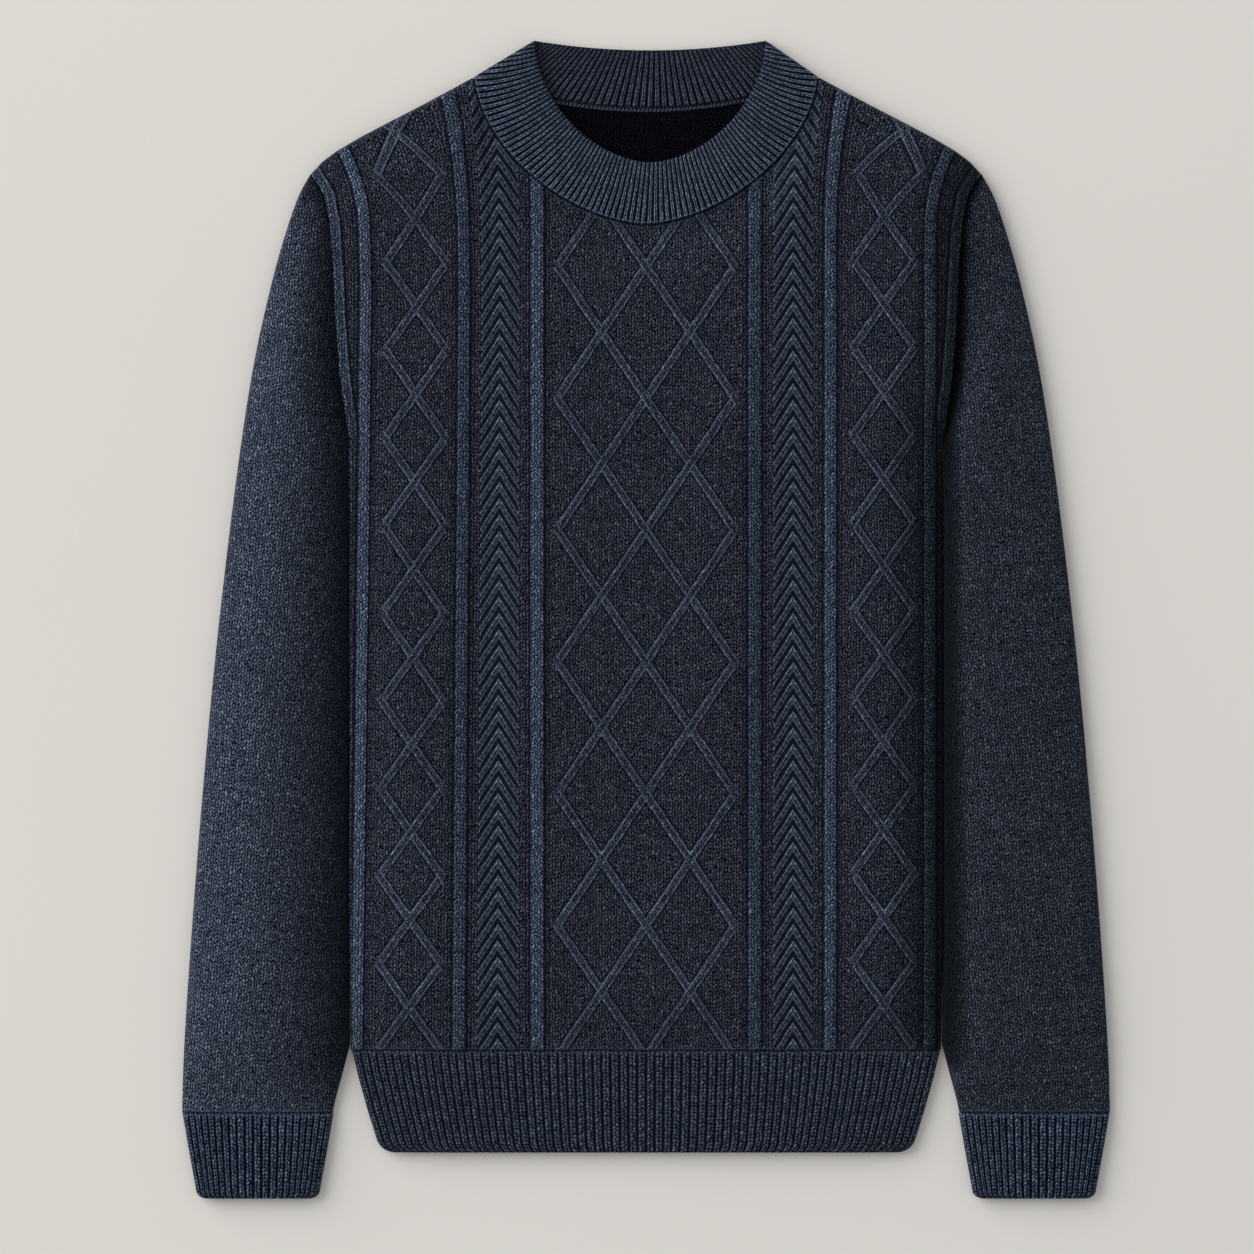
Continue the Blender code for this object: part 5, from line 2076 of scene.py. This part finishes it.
@dataclass
class Sleeve:
    """A plain sleeve from the armhole seam to the cuff."""

    side: Side
    crest_place: float  # share of the width at which the sleeve is highest
    cuff: RibBand
    outline: Outline = OUTLINE
    outer_line: tuple[Point, ...] = (
        (217.8, 290.4), (223.6, 281.3), (228.4, 270.9), (235.4, 250.0), (243.8, 220.7),
        (256.9, 162.7), (268.6, 81.2), (281.0, -25.1), (289.5, -119.0), (295.7, -197.2),
        (301.3, -280.7), (302.2, -321.1))
    inner_line: tuple[Point, ...] = (
        (193.6, 117.0), (193.6, 0.0), (193.6, -120.0), (193.6, -215.5), (192.6, -276.1),
        (197.2, -294.0), (202.4, -313.3), (204.1, -321.1))
    wall: float = 1.9
    crest: float = 18.5
    inner_height: float = 4.2
    outer_height: float = 5.2
    beside_body: float = 0.12
    reach: float = 0.16  # share of the sleeve over which the armhole's curve fades out
    cuff_reach: float = 0.09  # share over which the sleeve gathers into the cuff
    seam_drop: float = 1.6  # the cloth dips towards the armhole seam
    shade_width: float = 90.0  # distances from the body, which set the painted shade, count in full where the sleeve is this wide
    tilt: float = 5.2  # of the sleeve's middle line, in degrees
    least_width: float = 30.0
    rolled_share: float = 0.03  # share of the width that each rolled side takes
    rings: int = 230
    across: int = 64
    hidden_across: int = 14

    def build(self, materials: Sequence[bpy.types.Material]) -> bpy.types.Object:
        """Make the sleeve, ring by ring.

        Args:
            materials: The piece's materials.

        Returns:
            The sleeve.
        """
        gap = self.outline.seam_gap
        seam = Line([(x + gap, y) for x, y in reversed(self.outline.armhole)])
        outer_points = [tuple(seam.points[-1]), *self.outer_line[1:-1],
                        (self.outer_line[-1][0], self.outer_line[-1][1] + gap / 2)]
        inner_points = [tuple(seam.points[0])]
        inner_points += [(x + self.beside_body, y) for x, y in self.inner_line[1:-1]]
        inner_points.append((self.inner_line[-1][0], outer_points[-1][1]))
        outer, inner = Line(outer_points, 2), Line(inner_points)
        first, last = seam.points[0], seam.points[-1]
        sign = self.side.value

        def plan(rows: Numbers, share: Numbers) -> tuple[Numbers, Numbers]:
            """The sleeve's place on the floor.

            Args:
                rows: Shares of the way from the seam.
                share: Shares of the way across.

            Returns:
                X and Y.
            """
            start, end, along = inner.at(rows), outer.at(rows), seam.at(share)
            bend = (1.0 - rows) ** 3
            x, y = (start[i] + (end[i] - start[i]) * share
                    + bend * (along[i] - first[i] - (last[i] - first[i]) * share)
                    for i in (0, 1))
            return sign * x, y

        def height(rows: Numbers, share: Numbers) -> Numbers:
            """Thickness: a soft dome that settles from the armhole and flattens at the cuff.

            Args:
                rows: Shares of the way from the seam.
                share: Shares of the way across.

            Returns:
                The thickness of both layers.
            """
            settle = smoothstep(rows / self.reach)
            level = smoothstep((1.0 - rows) / self.cuff_reach)
            ends = self.inner_height + (self.outer_height - self.inner_height) * share
            at_seam = self.outline.edge_height(*seam.at(share))
            at_seam = at_seam - self.seam_drop * np.sin(pi * share) ** 0.5
            ends = at_seam + (ends - at_seam) * settle
            half = self.cuff.rows[0][1]
            at_cuff = self.cuff.thickness_at(half * (2.0 * share - 1.0), half)
            ends = at_cuff + (ends - at_cuff) * level
            dome = (self.crest - (self.inner_height + self.outer_height) / 2) * settle * level
            near = np.minimum(share / self.crest_place,
                              (1.0 - share) / (1.0 - self.crest_place))
            return ends + dome * roll(near, 1.0)

        rows = np.linspace(0.0, 1.0, self.rings + 1)
        ends = np.hypot(*(b - a for a, b in zip(inner.at(rows), outer.at(rows))))
        tube = FlatTube(plan, plan, height, self.wall, rows, ends, rows, both_ends=True)
        cloth = Cloth()
        fine = edged_shares(self.across, self.rolled_share)
        coarse = edged_shares(self.hidden_across, self.rolled_share)
        tube.build(cloth, Layer(fine), Layer(coarse), Layer(coarse), Layer(coarse))
        self.map_stitches(cloth)
        name = f"sleeve_{self.side.label}"
        return hold(cloth.finish(f"{name}_cloth", materials), name)

    def map_stitches(self, cloth: Cloth) -> None:
        """Let the wales run along the sleeve's own middle line and round its sides.

        Args:
            cloth: The mesh under way.
        """
        tilt = radians(self.tilt) * self.side.value
        body = Line(self.outline.armhole + self.outline.side[1:])
        for points, maps in zip(cloth.points, cloth.maps):
            rings = points.reshape(self.rings + 1, -1, 3) / MM
            step = np.diff(rings, axis=1)
            longer = np.hypot(step[..., 0], step[..., 2]) - np.abs(step[..., 0])
            round_side = np.pad(np.cumsum(longer, axis=1), ((0, 0), (1, 0)))
            middle = rings.shape[1] // 2
            round_side = (round_side - round_side[:, middle, None]) * self.side.value
            x, y = points[:, 0] / MM, points[:, 1] / MM
            width = read_table(y, sorted((py, px) for px, py in self.outer_line))
            width = np.clip(width - self.outline.edge_x(y), self.least_width, None)
            # the edge map holds scaled distances from the body, which set the painted shade
            maps[:, 2] = body.distance(np.abs(x), y) * self.shade_width / width
            maps[:, 0] = (x * cos(tilt) + y * sin(tilt) + round_side.ravel()) / GAUGE.wale
            maps[:, 1] = (y * cos(tilt) - x * sin(tilt)) / GAUGE.course


# ---------------------------------------------------------------- floor, light and camera

@dataclass
class Studio:
    """A pale floor, soft light from the upper left and a camera straight above."""

    floor_colour: Colour = (0.72, 0.695, 0.655)
    floor_size: float = 6.0
    floor_drop: float = 0.0002  # keeps the floor just clear of the cloth
    floor_roughness: float = 0.9
    floor_specular: float = 0.1
    mottle_scale: float = 3.0
    mottle_shade: float = 0.965  # tone of the floor's darker patches
    frame_width: float = 0.8176
    centre: Point = (-0.0124, -0.0049)
    camera_height: float = 3.4
    sensor: float = 36.0
    key_strength: float = 1370.0
    key_distance: float = 10.0
    key_size: float = 12.0
    key_elevation: float = 23.0
    key_azimuth: float = 150.0  # counted from +X towards +Y
    key_colour: Colour = (1.0, 0.985, 0.965)
    fill_strength: float = 0.575
    fill_colour: Colour = (0.97, 0.985, 1.0)

    def build(self) -> None:
        """Set up the floor, the lights and the camera."""
        self.make_floor()
        self.make_light()
        self.make_camera()

    def make_floor(self) -> None:
        """A plain floor with a faint mottle."""
        mesh = bpy.data.meshes.new("floor")
        half = self.floor_size / 2
        mesh.from_pydata([(-half, -half, 0.0), (half, -half, 0.0), (half, half, 0.0),
                          (-half, half, 0.0)], [], [(0, 1, 2, 3)])
        material = bpy.data.materials.new("floor")
        material.use_nodes = True
        graph = Graph(material.node_tree)
        shader = material.node_tree.nodes["Principled BSDF"]
        place = graph.term("Object", "TexCoord", {})
        mottle = graph.noise(place, self.mottle_scale, 4.0)
        darker = tuple(value * self.mottle_shade for value in self.floor_colour)
        colour = graph.blend_colour(mottle, (*self.floor_colour, 1.0), (*darker, 1.0))
        graph.put(shader.inputs["Base Color"], colour)
        graph.put(shader.inputs["Roughness"], self.floor_roughness)
        graph.put(shader.inputs["Specular IOR Level"], self.floor_specular)
        mesh.materials.append(material)
        floor = add_object("floor", mesh)
        floor.location.z = -self.floor_drop

    def make_light(self) -> None:
        """A broad key light and an even fill."""
        key = bpy.data.lights.new("key", "AREA")
        key.shape = "DISK"
        key.size = self.key_size
        key.energy = self.key_strength
        key.color = self.key_colour
        lamp = add_object("key", key)
        up, round_about = radians(self.key_elevation), radians(self.key_azimuth)
        lamp.location = tuple(self.key_distance * part for part in (
            cos(up) * cos(round_about), cos(up) * sin(round_about), sin(up)))
        lamp.rotation_euler = (0.0, radians(90.0) - up, round_about)
        world = bpy.data.worlds.new("studio")
        world.use_nodes = True
        background = world.node_tree.nodes["Background"]
        background.inputs["Color"].default_value = (*self.fill_colour, 1.0)
        background.inputs["Strength"].default_value = self.fill_strength
        bpy.context.scene.world = world
        bpy.context.scene.view_settings.view_transform = "Standard"

    def make_camera(self) -> None:
        """A long lens that looks straight down, with +Y up in the picture."""
        data = bpy.data.cameras.new("camera")
        data.sensor_width = self.sensor
        data.lens = self.sensor * self.camera_height / self.frame_width
        camera = add_object("camera", data)
        camera.location = (*self.centre, self.camera_height)
        bpy.context.scene.camera = camera


# ---------------------------------------------------------------- the garment

@dataclass
class Cut:
    """Flat sizes of a piece before it is laid, in metres."""

    width: float
    length: float
    area: float | None = None
    rests_on: tuple[str, ...] = ()


HEM = RibBand(
    "hem_rib", "hem_rib",
    ((-280.4, 191.5), (-299.0, 187.1), (-319.8, 181.3), (-338.6, 175.4), (-346.9, 172.9)),
    RibLayout(70.0, 0.06, 0.05), corner=8.0, side_reach=42.0, side_drop=3.0, thickness=8.6)
CUFF_ROWS = ((-321.1, 49.2), (-344.6, 45.2), (-371.0, 40.4), (-376.9, 39.6))
CUFF_LAYOUT = RibLayout(21.0, 0.16, 0.12)
CUFF_CENTRE = 252.8


def cuff_of(side: Side) -> RibBand:
    """The cuff of one sleeve."""
    return RibBand(f"cuff_{side.label}", "cuff_rib", CUFF_ROWS, CUFF_LAYOUT, corner=5.0,
                   side_reach=14.0, side_drop=2.4, centre=side.value * CUFF_CENTRE,
                   thickness=8.4)


def main() -> None:
    """Build the pieces in order and report each."""
    logging.basicConfig(level=logging.INFO, format="%(name)s: %(message)s")
    effects = Effects()
    # the front carries painted shade towards its right rolled edge
    front_knit = FrontFinish("front_knit", CHARCOAL, deep_width=40.0, deep_depth=0.85,
                             deep_right_only=True, groove=0.4, rope=0.6, rope_start=0.8,
                             rope_width=1.1).material(effects)
    back_knit = Finish("back_knit", CHARCOAL).material(effects)
    # painted shade: the back's inside is near-black to stand in for shade
    inside = Finish("inside_knit", PAINTED_SHADE_YARN, sheen=0.0, groove=0.0, rope=1.0, rope_start=0.1,
                    rope_width=2.6, rope_colour=(0.060, 0.078, 0.115)).material(effects)
    sleeve_knits = {
        # the left sleeve carries painted shade beside the body
        Side.LEFT: Finish("left_sleeve_knit", SLEEVE_YARN, deep_width=58.0, deep_depth=0.92,
                          groove=0.5, rope=0.55).material(effects),
        # the right sleeve carries painted shade beside the body, the body's cast shadow
        Side.RIGHT: Finish("right_sleeve_knit", PAINTED_SHADE_SLEEVE_YARN, deep_width=15.0,
                           deep_depth=1.0, deep_curve=2.2, groove=0.4, rope=0.5).material(effects),
    }
    hem_knit = RibFinish("hem_knit", HEM_YARN, slant=0.5, wander=0.7, gutter=0.88, gap=0.8,
                         groove=0.3, rope=0.4).material(effects)
    cuff_knit = RibFinish("cuff_knit", CUFF_YARN, slant=0.5, wander=0.7, gutter=0.97, gap=0.8,
                          groove=0.3, rope=0.4).material(effects)
    collar_knits = [
        RibFinish(name, yarn, slant=0.3, wander=0.35, unrest=0.9, gap=0.5, gutter=1.0,
                  gutter_start=0.18, gutter_end=0.34, waver=0.12, fade=0.5,
                  rope=rope).material(effects)
        for name, yarn, rope in (("collar_knit", COLLAR_YARN, 0.5),
                                 ("inner_collar_knit", PAINTED_SHADE_COLLAR_YARN, 0.0))]

    pieces = {
        "back": Back().build([back_knit, inside]),
        "front": Front().build([front_knit]),
        "collar": NeckRib().build(collar_knits),
        "hem_rib": HEM.build([hem_knit]),
    }
    for side, crest_place in ((Side.LEFT, 0.64), (Side.RIGHT, 0.27)):
        cuff = cuff_of(side)
        pieces[cuff.name] = cuff.build([cuff_knit])
        pieces[f"sleeve_{side.label}"] = Sleeve(side, crest_place, cuff).build(
            [sleeve_knits[side]])
    Studio().build()


if __name__ == "__main__":
    main()
